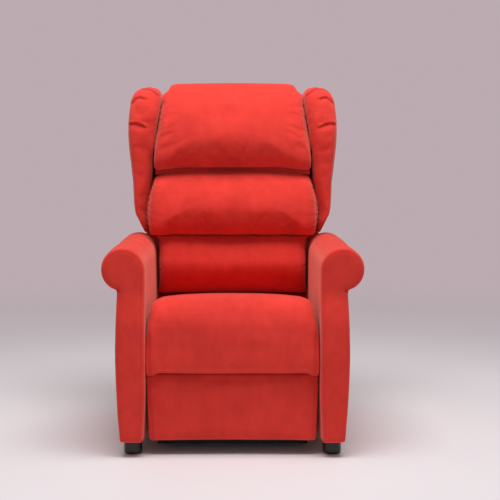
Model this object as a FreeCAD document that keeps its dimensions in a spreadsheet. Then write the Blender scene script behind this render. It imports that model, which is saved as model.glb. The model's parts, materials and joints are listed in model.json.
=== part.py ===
import FreeCAD, Part
import Sketcher
import os
from math import cos, radians, tan

# Riser recliner armchair. Millimetres, +Z up, the chair faces -Y, and the origin lies on the
# floor under the middle of the whole chair. Depths are given from the plane of the arm fronts.

Vector = FreeCAD.Vector
X_AXIS = Vector(1, 0, 0)
Y_AXIS = Vector(0, 1, 0)
Z_AXIS = Vector(0, 0, 1)

SIZES = {
    # whole chair
    "overall_depth": 860,
    "overall_height": 1145,
    "overrun": 4,
    "soft_gap": 0.5,
    "running_gap": 0.05,
    # feet
    "foot_height": 46,
    "foot_radius": 27.5,
    "foot_edge": 9,
    "foot_from_inner": 40,
    "foot_front": 52,
    "foot_rear_inset": 52,
    "stud_radius": 5,
    "stud_in_foot": 28,
    "stud_in_frame": 40,
    # arms
    "arm_inner": 260,
    "arm_behind_hinge": 40,
    "roll_radius": 65,
    "roll_height": 558,
    "neck_reach": 82,
    "arm_base_width": 76,
    "arm_bulge": 9,
    "arm_front_edge": 14,
    "frame_from_inner": 32,
    "frame_thickness": 16,
    "frame_margin": 34,
    "frame_height": 470,
    # control plate and buttons in the outer side of the right arm
    "plate_front": 150,
    "plate_low": 372,
    "plate_wide": 62,
    "plate_tall": 88,
    "plate_floor": 80,
    "plate_depth": 7.5,
    "button_radius": 8,
    "button_gap": 0.1,
    "button_pitch": 26,
    "button_proud": 2.5,
    "button_room": 1.8,
    # wooden seat box
    "rail_width": 31,
    "rail_low": 250,
    "rail_high": 60,
    "rail_front": 60,
    "rail_behind_hinge": 8,
    "cross_rail_depth": 26,
    "cross_rail_high": 48,
    "rear_rail_before_hinge": 80,
    "strap_width": 50,
    "strap_thickness": 2,
    "strap_reach": 246,
    "strap_first": 110,
    "strap_last_before_hinge": 120,
    "rear_panel_inset": 4,
    "rear_panel_thickness": 18,
    "rear_panel_high": 140,
    # steel lanes beside the seat box
    "plate_thickness": 5,
    "lane_room": 4,
    "link_thickness": 5,
    "lane_gap": 3,
    "side_plate_front": 86,
    "side_plate_behind_hinge": 18,
    "side_plate_rear_drop": 8,
    "side_plate_heel": 7,
    "side_plate_heel_drop": 21,
    "side_plate_nose": 228,
    "side_plate_low": 140,
    "side_plate_low_front": 322,
    "side_plate_low_before_hinge": 54,
    "pin_radius": 5,
    "pin_head_radius": 8,
    "pin_head": 2,
    "open_pivot_gap": 1.2,
    # base frame on the floor
    "tube": 30,
    "glide_height": 12,
    "glide_radius": 13,
    "glide_inset": 75,
    "runner_inner": 200,
    "runner_front": 122,
    "runner_behind_hinge": 74,
    "base_front_tube": 124,
    "base_middle_before_hinge": 150,
    "base_rear_before_hinge": 20,
    "supply_left": 166,
    "supply_length": 110,
    "supply_depth": 58,
    "supply_high": 44,
    # lift linkage: arm and guide link
    "lift_pivot_depth": 186.2,
    "lift_pivot_height": 74.4,
    "lift_end_before_hinge": 37.8,
    "lift_end_height": 100.5,
    "guide_pivot_depth": 141.8,
    "guide_pivot_height": 57.9,
    "guide_end_before_hinge": 169.5,
    "guide_end_height": 69.6,
    "lift_arm_half": 17,
    "guide_half": 11,
    "torsion_radius": 12,
    # chassis cross tubes
    "chassis_tube_front": 342,
    "chassis_tube_low": 144,
    "chassis_rear_before_hinge": 105,
    "chassis_rear_tube_low": 165,
    # footrest linkage
    "crank_depth": 146.5,
    "crank_height": 224.8,
    "crank_length": 162.4,
    "crank_angle": 64.1,
    "board_pivot_depth": 90.6,
    "board_pivot_height": 187.4,
    "stay_offset": 42,
    "control_offset": 48,
    "control_angle": 24,
    "link_half": 11,
    "crank_half": 12,
    "drive_radius": 11,
    "footrest_front": 20,
    "footrest_low": 44,
    "footrest_high": 196,
    "footrest_half": 256,
    "footrest_taper": 6,
    "footrest_edge": 9,
    "footrest_pad": 27,
    "footrest_board": 13,
    "board_margin": 12,
    # leaning back
    "back_lean": 10,
    "shell_low": 262,
    "shell_length": 880,
    "shell_thick": 70,
    "shell_edge": 18,
    "shell_corner": 62,
    "shell_half_low": 250,
    "shell_half_shoulder": 305,
    "shell_half_wide": 346,
    "shell_half_top": 338,
    "shell_step_low": 318,
    "shell_step_high": 372,
    "shell_wide_at": 600,
    "shell_crest_half": 296,
    "shell_crest_side": 22,
    "shell_crest_drop": 12,
    "shell_dip": 35,
    "shell_dip_half": 252,
    "board_thick": 12,
    "board_rise": 838,
    "board_below": 10,
    "hinge_from_rear": 92,
    "hinge_rise": 3,
    "bracket_below": 16,
    "bracket_above": 130,
    "bracket_front": 108,
    # seat cushion
    "seat_half": 257,
    "seat_front": 5,
    "seat_before_hinge": 24,
    "seat_crown": 475,
    "flap_low": 254,
    "flap_depth": 52,
    "flap_round": 20,
    "seat_front_round": 96,
    "seat_rear_drop": 58,
    # back cushions
    "lumbar_low": 430,
    "lumbar_high": 192,
    "lumbar_half": 250,
    "lumbar_deep": 150,
    "middle_low": 622,
    "middle_high": 221,
    "middle_half": 290,
    "middle_deep": 192,
    "head_low": 846,
    "head_half": 276,
    "head_deep": 206,
    # wings
    "wing_low": 627,
    "wing_high": 498,
    "wing_outer": 358,
    "wing_deep": 206,
    "wing_nose": 56,
    "wing_inner_gap": 3,
    # actuators
    "eye_half": 10,
    "eye_radius": 12,
    "ear_gap": 0.3,
    "case_start": 30,
    "case_length": 55,
    "case_half": 22,
    "motor_offset": 40,
    "motor_radius": 19,
    "motor_length": 66,
    "sleeve_radius": 15,
    "rod_radius": 9,
    "lift_eye_before_hinge": 134.8,
    "lift_eye_height": 108,
    "lift_lever": 60.1,
    "lift_lever_angle": 94.5,
    "lift_sleeve_short": 37,
    "lift_rod_start": 115,
    "back_side": 110,
    "back_eye_depth": 317,
    "back_eye_height": 249.7,
    "back_lever": 61.4,
    "back_lever_angle": 55.7,
    "back_sleeve_short": 76,
    "back_rod_start": 148,
    "footrest_side": 110,
    "footrest_eye_depth": 400,
    "footrest_lever": 36,
    "footrest_lever_angle": 46,
    "footrest_sleeve_short": 33.5,
    "footrest_rod_start": 106.5,
}
# how near an edge has to lie to a plane to count as on it
TOUCH = 0.001

# Rows of a soft piece from bottom to top: shares of its height, half width and depth,
# and the share of the depth by which its rear leaves the panel behind it.
LUMBAR_SHARES = [
    (0.00, 0.955, 0.62, 0.10), (0.08, 0.985, 0.82, 0.02), (0.30, 1.00, 0.97, 0.00),
    (0.55, 1.00, 1.00, 0.00), (0.80, 0.995, 0.95, 0.00), (1.00, 0.975, 0.80, 0.04)]
MIDDLE_SHARES = [
    (0.00, 0.96, 0.72, 0.08), (0.07, 0.99, 0.88, 0.02), (0.30, 1.00, 0.99, 0.00),
    (0.55, 0.985, 1.00, 0.00), (0.80, 0.95, 0.93, 0.00), (0.94, 0.92, 0.82, 0.02),
    (1.00, 0.88, 0.70, 0.08)]
HEAD_SHARES = [
    (0.00, 0.95, 0.74, 0.08), (0.06, 0.99, 0.89, 0.02), (0.22, 0.98, 0.99, 0.00),
    (0.45, 0.94, 1.00, 0.00), (0.70, 0.91, 0.88, 0.00), (0.88, 0.885, 0.72, 0.00),
    (0.96, 0.865, 0.60, 0.03), (1.00, 0.83, 0.48, 0.10)]
# Rows of a wing: shares of its height, of its outer reach and of its depth, and the inner
# reach as a share of the outer one.
WING_SHARES = [
    (0.00, 0.870, 0.50, 0.936), (0.04, 0.895, 0.61, 0.925), (0.11, 0.925, 0.69, 0.904),
    (0.34, 0.952, 0.82, 0.862), (0.44, 0.966, 0.88, 0.838), (0.70, 1.000, 1.00, 0.772),
    (0.88, 0.985, 0.97, 0.742), (0.95, 0.962, 0.90, 0.752), (0.985, 0.922, 0.80, 0.800),
    (1.00, 0.875, 0.68, 0.880)]
# Sections of the seat cushion from its middle to its side: share of the half width, and
# shares of the front rounding by which the top drops and the front draws in.
SEAT_SHARES = [
    (0.00, 0.00, 0.00), (0.50, 0.015, 0.00), (0.76, 0.07, 0.01), (0.87, 0.18, 0.02),
    (0.945, 0.38, 0.035), (0.985, 0.60, 0.07), (1.00, 0.80, 0.14)]

# Rows of the footrest pad from an edge inwards: shares of the edge size for rise and draw.
PAD_SHARES = [(0.0, 1.0), (0.35, 0.25), (1.0, 0.0)]
# A level section of a back cushion, as shares of its depth: corner, crown of the face,
# and, as shares of the corner, how far the rear is drawn in and how full the corner is.
CORNER_SHARE = 0.42
CROWN_SHARE = 0.06
PINCH_SHARE = 0.10
BEND_SHARE = 0.32
# A level section of a wing: how deep its round front is at most, as a share of its width, and
# by which shares of that depth its rear and front draw in from its outer side.
NOSE_SHARE = 0.45
WING_REAR_SHARE = 0.3
WING_FRONT_SHARE = 0.2
# A side view of the seat cushion, as shares of the flap's rounding and of the front rounding,
# and the share of the rear drop by which the middle of the top lies under its front.
FLAP_REAR_SHARE = 0.4
FLAP_EDGE_SHARE = 0.3
FLAP_FACE_SHARE = 0.15
CROWN_EDGE_SHARE = 0.1
FACE_DROP_SHARE = 0.33
TOP_DROP_SHARE = 0.37

doc = FreeCAD.newDocument("lift_recliner")
sheet = doc.addObject("Spreadsheet::Sheet", "dims")
for row, (alias, value) in enumerate(SIZES.items(), start=1):
    sheet.set(f"A{row}", alias)
    sheet.set(f"B{row}", str(value))
    sheet.setAlias(f"B{row}", alias)
doc.recompute()

nodes = []


# Expressions and numbers

def size(alias):
    return float(sheet.get(alias))


def number(text):
    return float(sheet.evalExpression(text))


def depth(text):
    return f"({text}) - dims.overall_depth / 2"


def lane(count):
    pitch = "(dims.link_thickness + dims.lane_gap)"
    start = "dims.arm_inner - dims.rail_width - dims.plate_thickness - dims.lane_room"
    return f"({start} - dims.link_thickness - {count} * {pitch})"


def spot(y_text, z_text):
    return (f"({depth(y_text)})", f"({z_text})")


def moved(point, reach, angle, forward=1):
    # a point at a reach and an angle from another; forward of it for +1, behind it for -1
    y_text = f"({point[0]} - {forward} * {reach} * cos({angle}))"
    return (y_text, f"({point[1]} + {reach} * sin({angle}))")


def length_of(start, end):
    return f"sqrt(({end[0]} - {start[0]}) ^ 2 + ({end[1]} - {start[1]}) ^ 2)"


def angle_of(start, end):
    return f"atan2({end[1]} - {start[1]}; {end[0]} - {start[0]})"


# Shapes

def place(item, x="0", y="0", z="0", axis=None, angle="0"):
    if axis is not None:
        item.Placement = FreeCAD.Placement(Vector(), FreeCAD.Rotation(axis, 1))
        item.setExpression("Placement.Rotation.Angle", angle)
    item.setExpression("Placement.Base.x", x)
    item.setExpression("Placement.Base.y", y)
    item.setExpression("Placement.Base.z", z)
    return item


def block(name, spans, at):
    item = doc.addObject("Part::Box", name)
    for prop, text in zip(("Length", "Width", "Height"), spans):
        item.setExpression(prop, text)
    return place(item, *at)


def round_bar(name, radius, length, at, along="x"):
    item = doc.addObject("Part::Cylinder", name)
    item.setExpression("Radius", radius)
    item.setExpression("Height", length)
    turns = {"x": (Y_AXIS, "90"), "y": (X_AXIS, "-90"), "z": (None, "0")}
    axis, angle = turns[along]
    return place(item, *at, axis=axis, angle=angle)


def joined(name, items):
    item = doc.addObject("Part::MultiFuse", name)
    item.Shapes = items
    return item


def cut(name, base, tools):
    item = doc.addObject("Part::Cut", name)
    item.Base = base
    item.Tool = tools[0] if len(tools) == 1 else group(name + "_tools", tools)
    return item


def group(name, items):
    item = doc.addObject("Part::Compound", name)
    item.Links = items
    return item


def mirrored(name, source):
    item = doc.addObject("Part::Mirroring", name)
    item.Source = source
    item.Normal = X_AXIS
    return item


def pair(name, source):
    return group(name, [source, mirrored(name + "_left", source)])


def keep(item, label=None):
    item.Label = label or item.Name
    nodes.append(item)
    return item


# Sketches

def origin_plane(body, role):
    return next(item for item in body.Origin.OriginFeatures if item.Role == role)


def new_sketch(body, name, role):
    sketch = body.newObject("Sketcher::SketchObject", name)
    sketch.AttachmentSupport = (origin_plane(body, role), [""])
    sketch.MapMode = "FlatFace"
    return sketch


def hold(sketch, text, *constraint):
    index = sketch.addConstraint(Sketcher.Constraint(*constraint))
    label = f"size_{index}"
    sketch.renameConstraint(index, label)
    sketch.setExpression(f".Constraints.{label}", text)


def hold_point(sketch, geometry, end, x_text, y_text):
    x = number(x_text)
    y = number(y_text)
    hold(sketch, x_text, "DistanceX", -1, 1, geometry, end, x)
    hold(sketch, y_text, "DistanceY", -1, 1, geometry, end, y)


def add_bore(sketch, x_text, y_text, radius_text):
    centre = Vector(number(x_text), number(y_text), 0)
    index = sketch.addGeometry(Part.Circle(centre, Z_AXIS, number(radius_text)))
    hold_point(sketch, index, 3, x_text, y_text)
    hold(sketch, radius_text, "Radius", index, number(radius_text))


def pad(body, sketch, thickness, reverse=False):
    feature = body.newObject("PartDesign::Pad", sketch.Name + "_pad")
    feature.Profile = sketch
    feature.setExpression("Length", thickness)
    feature.Reversed = reverse
    return feature


def plate(name, corners, bores, thickness, x, at=("0", "0"), angle=None):
    """A flat plate across X: corners and bores are (depth, height) texts."""
    body = doc.addObject("PartDesign::Body", name)
    sketch = new_sketch(body, name + "_outline", "YZ_Plane")
    points = [Vector(number(y), number(z), 0) for y, z in corners]
    for index, start in enumerate(points):
        end = points[(index + 1) % len(points)]
        sketch.addGeometry(Part.LineSegment(start, end))
    for index, (y_text, z_text) in enumerate(corners):
        before = (index - 1) % len(corners)
        sketch.addConstraint(Sketcher.Constraint("Coincident", before, 2, index, 1))
        hold_point(sketch, index, 1, y_text, z_text)
    for y_text, z_text, radius in bores:
        add_bore(sketch, y_text, z_text, radius)
    pad(body, sketch, thickness)
    place(body, x, at[0], at[1], X_AXIS if angle else None, angle or "0")
    return body


def link_bar(name, start, end, half, bores, x):
    """A flat bar with round ends from one pivot to another: bores are (reach, radius)."""
    body = doc.addObject("PartDesign::Body", name)
    sketch = new_sketch(body, name + "_outline", "YZ_Plane")
    length = length_of(start, end)
    reach = number(length)
    width = number(half)
    near_circle = Part.Circle(Vector(), Z_AXIS, width)
    far_circle = Part.Circle(Vector(reach, 0, 0), Z_AXIS, width)
    sketch.addGeometry(Part.ArcOfCircle(near_circle, radians(90), radians(270)))
    sketch.addGeometry(Part.LineSegment(Vector(0, -width, 0), Vector(reach, -width, 0)))
    sketch.addGeometry(Part.ArcOfCircle(far_circle, radians(-90), radians(90)))
    sketch.addGeometry(Part.LineSegment(Vector(reach, width, 0), Vector(0, width, 0)))
    for first, second, ends in ((0, 1, (2, 1)), (1, 2, (2, 1)), (2, 3, (2, 1)), (3, 0, (2, 1))):
        sketch.addConstraint(Sketcher.Constraint("Tangent", first, ends[0], second, ends[1]))
    sketch.addConstraint(Sketcher.Constraint("Coincident", 0, 3, -1, 1))
    sketch.addConstraint(Sketcher.Constraint("PointOnObject", 2, 3, -1))
    sketch.addConstraint(Sketcher.Constraint("Equal", 0, 2))
    hold(sketch, length, "DistanceX", -1, 1, 2, 3, reach)
    hold(sketch, half, "Radius", 0, width)
    for reach_text, radius in bores:
        add_bore(sketch, reach_text, "0", radius)
    pad(body, sketch, "dims.link_thickness")
    return place(body, x, start[0], start[1], X_AXIS, angle_of(start, end))


def front_edges(shape, level):
    names = []
    for index, edge in enumerate(shape.Edges, start=1):
        box = edge.BoundBox
        if abs(box.YMin - level) < TOUCH and abs(box.YMax - level) < TOUCH:
            names.append(f"Edge{index}")
    return names


def round_edges(body, feature, names, radius):
    doc.recompute()
    fillet = body.newObject("PartDesign::Fillet", body.Name + "_rounding")
    fillet.Base = (feature, names)
    fillet.setExpression("Radius", radius)
    return fillet


# The back leans about the lower rear edge of its shell, and its rearmost point is the top
# edge. What lies at the rear of the chair keeps its distance from the hinge of the back.

rear_run = "(dims.shell_length - dims.shell_edge) * sin(dims.back_lean)"
edge_run = "dims.shell_edge * (1 - cos(dims.back_lean))"
shell_foot = spot(f"dims.overall_depth - {rear_run} - {edge_run}", "dims.shell_low")


def on_back(forward, rise):
    # a point of the leaning back, by its distance forward of the rear face and its rise
    y_text = f"({shell_foot[0]} - {forward} * cos(dims.back_lean) + {rise} * sin(dims.back_lean))"
    z_text = f"({shell_foot[1]} + {forward} * sin(dims.back_lean) + {rise} * cos(dims.back_lean))"
    return (y_text, z_text)


hinge = on_back("dims.hinge_from_rear", "dims.hinge_rise")


def behind_hinge(alias):
    return f"({hinge[0]} + dims.{alias})"


def before_hinge(alias):
    return f"({hinge[0]} - dims.{alias})"


arm_rear = behind_hinge("arm_behind_hinge")
arm_length = f"({arm_rear} - ({depth('0')}))"

# Pivots of the two linkages, seen from the side

lift_pivot = spot("dims.lift_pivot_depth", "dims.lift_pivot_height")
lift_end = (before_hinge("lift_end_before_hinge"), "dims.lift_end_height")
guide_pivot = spot("dims.guide_pivot_depth", "dims.guide_pivot_height")
guide_end = (before_hinge("guide_end_before_hinge"), "dims.guide_end_height")

crank_pivot = spot("dims.crank_depth", "dims.crank_height")
board_pivot = spot("dims.board_pivot_depth", "dims.board_pivot_height")
knee = moved(crank_pivot, "dims.crank_length", "-dims.crank_angle", -1)
stay_reach = "dims.crank_length - dims.stay_offset"
stay_root = moved(crank_pivot, f"({stay_reach})", "-dims.crank_angle", -1)
stay_tip = moved(board_pivot, "dims.stay_offset", "dims.crank_angle", 1)
control_root = moved(crank_pivot, "dims.control_offset", "dims.control_angle", 1)
control_tip = moved(knee, "dims.control_offset", "dims.control_angle", 1)

# Actuator eyes and lever tips

lift_eye = (before_hinge("lift_eye_before_hinge"), "dims.lift_eye_height")
lift_tip = moved(lift_pivot, "dims.lift_lever", "dims.lift_lever_angle", -1)
back_eye = spot("dims.back_eye_depth", "dims.back_eye_height")
back_tip = moved(hinge, "dims.back_lever", "-dims.back_lever_angle", -1)
footrest_tip = moved(crank_pivot, "dims.footrest_lever", "-dims.footrest_lever_angle", -1)
footrest_eye = (f"({depth('dims.footrest_eye_depth')})", footrest_tip[1])

pin_bore = "dims.pin_radius + dims.running_gap"
open_bore = "dims.pin_radius + dims.open_pivot_gap"


def pin(name, point, inner_x, outer_x, flush=False):
    """A pin across X between two faces, headed at both ends or flush at its outer one."""
    shank = round_bar(name + "_shank", "dims.pin_radius", f"{outer_x} - {inner_x}",
                      (inner_x, point[0], point[1]))
    ends = [round_bar(name + "_clip", "dims.pin_head_radius", "dims.pin_head",
                      (f"{inner_x} - dims.pin_head", point[0], point[1]))]
    if not flush:
        ends.append(round_bar(name + "_head", "dims.pin_head_radius", "dims.pin_head",
                              (outer_x, point[0], point[1])))
    return joined(name, [shank] + ends)


def lane_face(count):
    return f"({lane(count)} + dims.link_thickness)"


# Base frame

runner_low = "dims.glide_height"
runner_top = "(dims.glide_height + dims.tube)"
runner_front = depth("dims.runner_front")
runner_rear = behind_hinge("runner_behind_hinge")
runner = block("runner", ("dims.tube", f"{runner_rear} - ({runner_front})", "dims.tube"),
               ("dims.runner_inner", runner_front, runner_low))
keep(pair("base_runners", runner))

tube_fronts = {"base_front_tube": depth("dims.base_front_tube"),
               "base_middle_tube": before_hinge("base_middle_before_hinge"),
               "base_rear_tube": before_hinge("base_rear_before_hinge")}
cross_tubes = []
for name, start in tube_fronts.items():
    cross_tubes.append(block(name, ("2 * dims.runner_inner", "dims.tube", "dims.tube"),
                             ("-dims.runner_inner", start, runner_low)))
keep(group("base_cross_tubes", cross_tubes))

glides = []
for end, y_text in (("front", f"{runner_front} + dims.glide_inset"),
                    ("rear", f"{runner_rear} - dims.glide_inset")):
    middle = "dims.runner_inner + dims.tube / 2"
    glide = round_bar(f"glide_{end}", "dims.glide_radius", "dims.glide_height",
                      (middle, y_text, "0"), "z")
    glides += [glide, mirrored(f"glide_{end}_left", glide)]
keep(group("base_glides", glides))

base_plate = plate("base_plate", [
    (depth("dims.base_front_tube"), runner_top),
    (depth("dims.base_front_tube + dims.tube"), runner_top),
    (f"{lift_pivot[0]} + dims.lift_arm_half", f"{lift_pivot[1]} - dims.torsion_radius"),
    (f"{lift_pivot[0]} + dims.lift_arm_half", f"{lift_pivot[1]} + dims.torsion_radius"),
    (f"{lift_pivot[0]} + dims.torsion_radius / 2", f"{lift_pivot[1]} + dims.lift_arm_half"),
    (f"{lift_pivot[0]} - dims.torsion_radius", f"{lift_pivot[1]} + dims.lift_arm_half"),
    (depth("dims.base_front_tube"), f"{guide_pivot[1]} + dims.torsion_radius")],
    [(lift_pivot[0], lift_pivot[1], "dims.torsion_radius + dims.running_gap"),
     (guide_pivot[0], guide_pivot[1], "dims.pin_radius")],
    "dims.link_thickness", lane(4))

ear_x = "(dims.eye_half + dims.ear_gap)"


def ears(name, side, corners, bores):
    """Two plates, one each side of an actuator's eye, about the depth plane at side."""
    right = plate(name + "_right", corners, bores, "dims.link_thickness", f"{side} + {ear_x}")
    left = plate(name + "_left", corners, bores, "dims.link_thickness",
                 f"{side} - {ear_x} - dims.link_thickness")
    return [right, left]


lift_ears = ears("lift_ear", "0", [
    (tube_fronts["base_middle_tube"], runner_top),
    (f"{tube_fronts['base_middle_tube']} + dims.tube", runner_top),
    (f"{lift_eye[0]} + dims.eye_radius", f"{lift_eye[1]} - dims.eye_radius / 2"),
    (f"{lift_eye[0]} + dims.eye_radius", f"{lift_eye[1]} + dims.eye_radius / 2"),
    (f"{lift_eye[0]} + dims.eye_radius / 2", f"{lift_eye[1]} + dims.eye_radius"),
    (f"{lift_eye[0]} - dims.eye_radius / 2", f"{lift_eye[1]} + dims.eye_radius"),
    (f"{lift_eye[0]} - dims.eye_radius", f"{lift_eye[1]} + dims.eye_radius / 2")],
    [(lift_eye[0], lift_eye[1], "dims.pin_radius")])
keep(group("base_brackets", [base_plate, mirrored("base_plate_left", base_plate)] + lift_ears))

ear_face = "(dims.eye_half + dims.ear_gap + dims.link_thickness)"
base_pin = pin("guide_root_pin", guide_pivot, lane(4), lane_face(3))
lift_eye_pin = pin("lift_eye_pin", lift_eye, f"-{ear_face}", ear_face)
keep(group("base_pins", [base_pin, mirrored("guide_root_pin_left", base_pin), lift_eye_pin]))

supply_rear = f"{tube_fronts['base_rear_tube']} + dims.tube"
supply_at = ("-dims.supply_left", f"{supply_rear} - dims.supply_depth", runner_top)
supply_case = block("supply_case", ("dims.supply_length", "dims.supply_depth",
                                    "dims.supply_high"), supply_at)
inlet_hole = block("inlet_hole", ("dims.tube - dims.eye_half", "dims.eye_radius + dims.overrun",
                                  "dims.tube - dims.eye_radius"),
                   ("dims.tube - dims.supply_left", f"{supply_rear} - dims.eye_radius",
                    f"{runner_top} + dims.eye_radius"))
keep(cut("power_supply", supply_case, [inlet_hole]))

# Lift arms on their torsion shaft, and the guide links

lift_bar = link_bar("lift_bar", lift_pivot, lift_end, "dims.lift_arm_half",
                    [("0", "dims.torsion_radius"), (length_of(lift_pivot, lift_end),
                                                    "dims.pin_radius")], lane(5))
keep(pair("lift_arms", lift_bar))
keep(round_bar("lift_torsion_shaft", "dims.torsion_radius", f"2 * {lane_face(4)}",
               (f"-{lane_face(4)}", lift_pivot[0], lift_pivot[1])))


def lever(name, side, pivot, tip, bore):
    """Two lever plates with stub pins whose ends face the rod's eye."""
    sides = []
    for label, x_text in (("right", f"{side} + {ear_x}"),
                          ("left", f"{side} - {ear_x} - dims.link_thickness")):
        bar = link_bar(f"{name}_{label}", pivot, tip, "dims.lift_arm_half",
                       [("0", bore)], x_text)
        stub_x = f"{side} + {ear_face}"
        if label == "left":
            stub_x = f"{side} - {ear_face} - dims.pin_head"
        stub = round_bar(f"{name}_{label}_stub", "dims.pin_head_radius", "dims.pin_head",
                         (stub_x, tip[0], tip[1]))
        sides.append(joined(f"{name}_{label}_arm", [bar, stub]))
    return group(name, sides)


keep(lever("lift_lever", "0", lift_pivot, lift_tip, "dims.torsion_radius"))
keep(pair("lift_arm_pins", pin("lift_end_pin", lift_end, lane(5), lane_face(4))))

guide_bar = link_bar("guide_bar", guide_pivot, guide_end, "dims.guide_half",
                     [("0", pin_bore), (length_of(guide_pivot, guide_end), "dims.pin_radius")],
                     lane(3))
keep(pair("guide_links", guide_bar))
keep(pair("guide_pins", pin("guide_end_pin", guide_end, f"({lane(4)} - dims.soft_gap)",
                            lane_face(3))))

# Chassis: steel side plates, cross tubes and brackets

side_inner = "(dims.arm_inner - dims.rail_width - dims.plate_thickness)"
rail_top = "(dims.rail_low + dims.rail_high)"
side_plate = plate("side_plate", [
    (depth("dims.side_plate_front"), rail_top),
    (depth("dims.side_plate_front"), "dims.side_plate_nose"),
    (f"{crank_pivot[0]} - dims.crank_half", f"{crank_pivot[1]} - 2 * dims.crank_half"),
    (f"{crank_pivot[0]} + dims.crank_half", f"{crank_pivot[1]} - 2 * dims.crank_half"),
    (depth("dims.side_plate_low_front"), "dims.side_plate_low"),
    (before_hinge("side_plate_low_before_hinge"), "dims.side_plate_low"),
    (behind_hinge("side_plate_heel"), f"{hinge[1]} - dims.side_plate_heel_drop"),
    (behind_hinge("side_plate_behind_hinge"), f"{hinge[1]} - dims.side_plate_rear_drop"),
    (behind_hinge("side_plate_behind_hinge"), rail_top)],
    [(crank_pivot[0], crank_pivot[1], "dims.drive_radius + dims.running_gap"),
     (control_root[0], control_root[1], "dims.pin_radius"),
     (hinge[0], hinge[1], "dims.pin_radius")],
    "dims.plate_thickness", side_inner)
keep(pair("side_plates", side_plate))

rear_tube_front = before_hinge("chassis_rear_before_hinge")
chassis_tubes = [
    block("chassis_tube", (f"2 * {side_inner}", "dims.tube", "dims.tube"),
          (f"-{side_inner}", depth("dims.chassis_tube_front"), "dims.chassis_tube_low")),
    block("chassis_rear_tube", (f"2 * {side_inner}", "dims.tube", "dims.tube"),
          (f"-{side_inner}", rear_tube_front, "dims.chassis_rear_tube_low"))]
keep(group("chassis_cross_tubes", chassis_tubes))

lift_bracket = plate("lift_bracket", [
    (f"{guide_end[0]} - dims.lift_arm_half", f"{guide_end[1]} - dims.guide_half"),
    (f"{guide_end[0]} + dims.lift_arm_half", f"{guide_end[1]} - dims.guide_half"),
    (f"{lift_end[0]} + dims.lift_arm_half", f"{lift_end[1]} - dims.guide_half"),
    (f"{lift_end[0]} + dims.lift_arm_half", f"{lift_end[1]} + dims.lift_arm_half"),
    (f"{rear_tube_front} + dims.tube", "dims.chassis_rear_tube_low"),
    (rear_tube_front, "dims.chassis_rear_tube_low"),
    (f"{guide_end[0]} - dims.lift_arm_half", f"{guide_end[1]} + dims.lift_arm_half")],
    [(guide_end[0], guide_end[1], open_bore), (lift_end[0], lift_end[1], pin_bore)],
    "dims.link_thickness", lane(4))

tube_front = depth("dims.chassis_tube_front")
tube_rear = depth("dims.chassis_tube_front + dims.tube")
tube_low = "dims.chassis_tube_low + dims.eye_half / 2"
tube_high = "dims.chassis_tube_low + dims.tube"
back_ears = ears("back_ear", "dims.back_side", [
    (tube_front, tube_low), (tube_front, tube_high),
    (f"{back_eye[0]} + dims.eye_radius", back_eye[1]),
    (f"{back_eye[0]} + dims.eye_radius / 2", f"{back_eye[1]} + dims.eye_radius"),
    (f"{back_eye[0]} - dims.eye_radius / 2", f"{back_eye[1]} + dims.eye_radius"),
    (f"{back_eye[0]} - dims.eye_radius", back_eye[1])],
    [(back_eye[0], back_eye[1], "dims.pin_radius")])
footrest_ears = ears("footrest_ear", "-dims.footrest_side", [
    (tube_rear, tube_low), (tube_rear, tube_high),
    (f"{footrest_eye[0]} - dims.eye_radius", footrest_eye[1]),
    (f"{footrest_eye[0]} - dims.eye_radius / 2", f"{footrest_eye[1]} + dims.eye_radius"),
    (f"{footrest_eye[0]} + dims.eye_radius / 2", f"{footrest_eye[1]} + dims.eye_radius"),
    (f"{footrest_eye[0]} + dims.eye_radius", footrest_eye[1]),
    (f"{footrest_eye[0]} + dims.eye_radius", f"{footrest_eye[1]} - dims.eye_radius")],
    [(footrest_eye[0], footrest_eye[1], "dims.pin_radius")])
keep(group("chassis_brackets", [lift_bracket, mirrored("lift_bracket_left", lift_bracket)]
           + back_ears + footrest_ears))

side_outer = f"({side_inner} + dims.plate_thickness)"
control_pin = pin("control_root_pin", control_root, lane(2), side_outer, flush=True)
hinge_pin = pin("hinge_pin", hinge, lane(0), side_outer, flush=True)
back_eye_pin = pin("back_eye_pin", back_eye, f"(dims.back_side - {ear_face})",
                   f"(dims.back_side + {ear_face})")
footrest_eye_pin = pin("footrest_eye_pin", footrest_eye, f"(-dims.footrest_side - {ear_face})",
                       f"(-dims.footrest_side + {ear_face})")
chassis_pins = []
for item in (control_pin, hinge_pin):
    chassis_pins += [item, mirrored(item.Name + "_left", item)]
keep(group("chassis_pins", chassis_pins + [back_eye_pin, footrest_eye_pin]))

# Wooden seat box, webbing and rear panel

rail_front = depth("dims.rail_front")
rail_rear = behind_hinge("rail_behind_hinge")
rail = block("rail", ("dims.rail_width", f"{rail_rear} - ({rail_front})", "dims.rail_high"),
             ("dims.arm_inner - dims.rail_width", rail_front, "dims.rail_low"))
keep(pair("seat_side_rails", rail))

rail_inner = "(dims.arm_inner - dims.rail_width)"
cross_rails = []
for name, half, start in (("front_rail", rail_inner, rail_front),
                          ("rear_rail", side_inner, before_hinge("rear_rail_before_hinge"))):
    cross_rails.append(block(name, (f"2 * {half}", "dims.cross_rail_depth",
                                    "dims.cross_rail_high"),
                             (f"-{half}", start, f"{rail_top} - dims.cross_rail_high")))
keep(group("seat_cross_rails", cross_rails))

strap_count = 6
first_strap = f"({depth('dims.strap_first')})"
last_strap = before_hinge("strap_last_before_hinge")
straps = []
for index in range(strap_count):
    start = f"{first_strap} + ({last_strap} - {first_strap}) * {index} / {strap_count - 1}"
    straps.append(block(f"strap_{index}", ("2 * dims.strap_reach", "dims.strap_width",
                                           "dims.strap_thickness"),
                        ("-dims.strap_reach", start, rail_top)))
keep(group("seat_webbing", straps))

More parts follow.
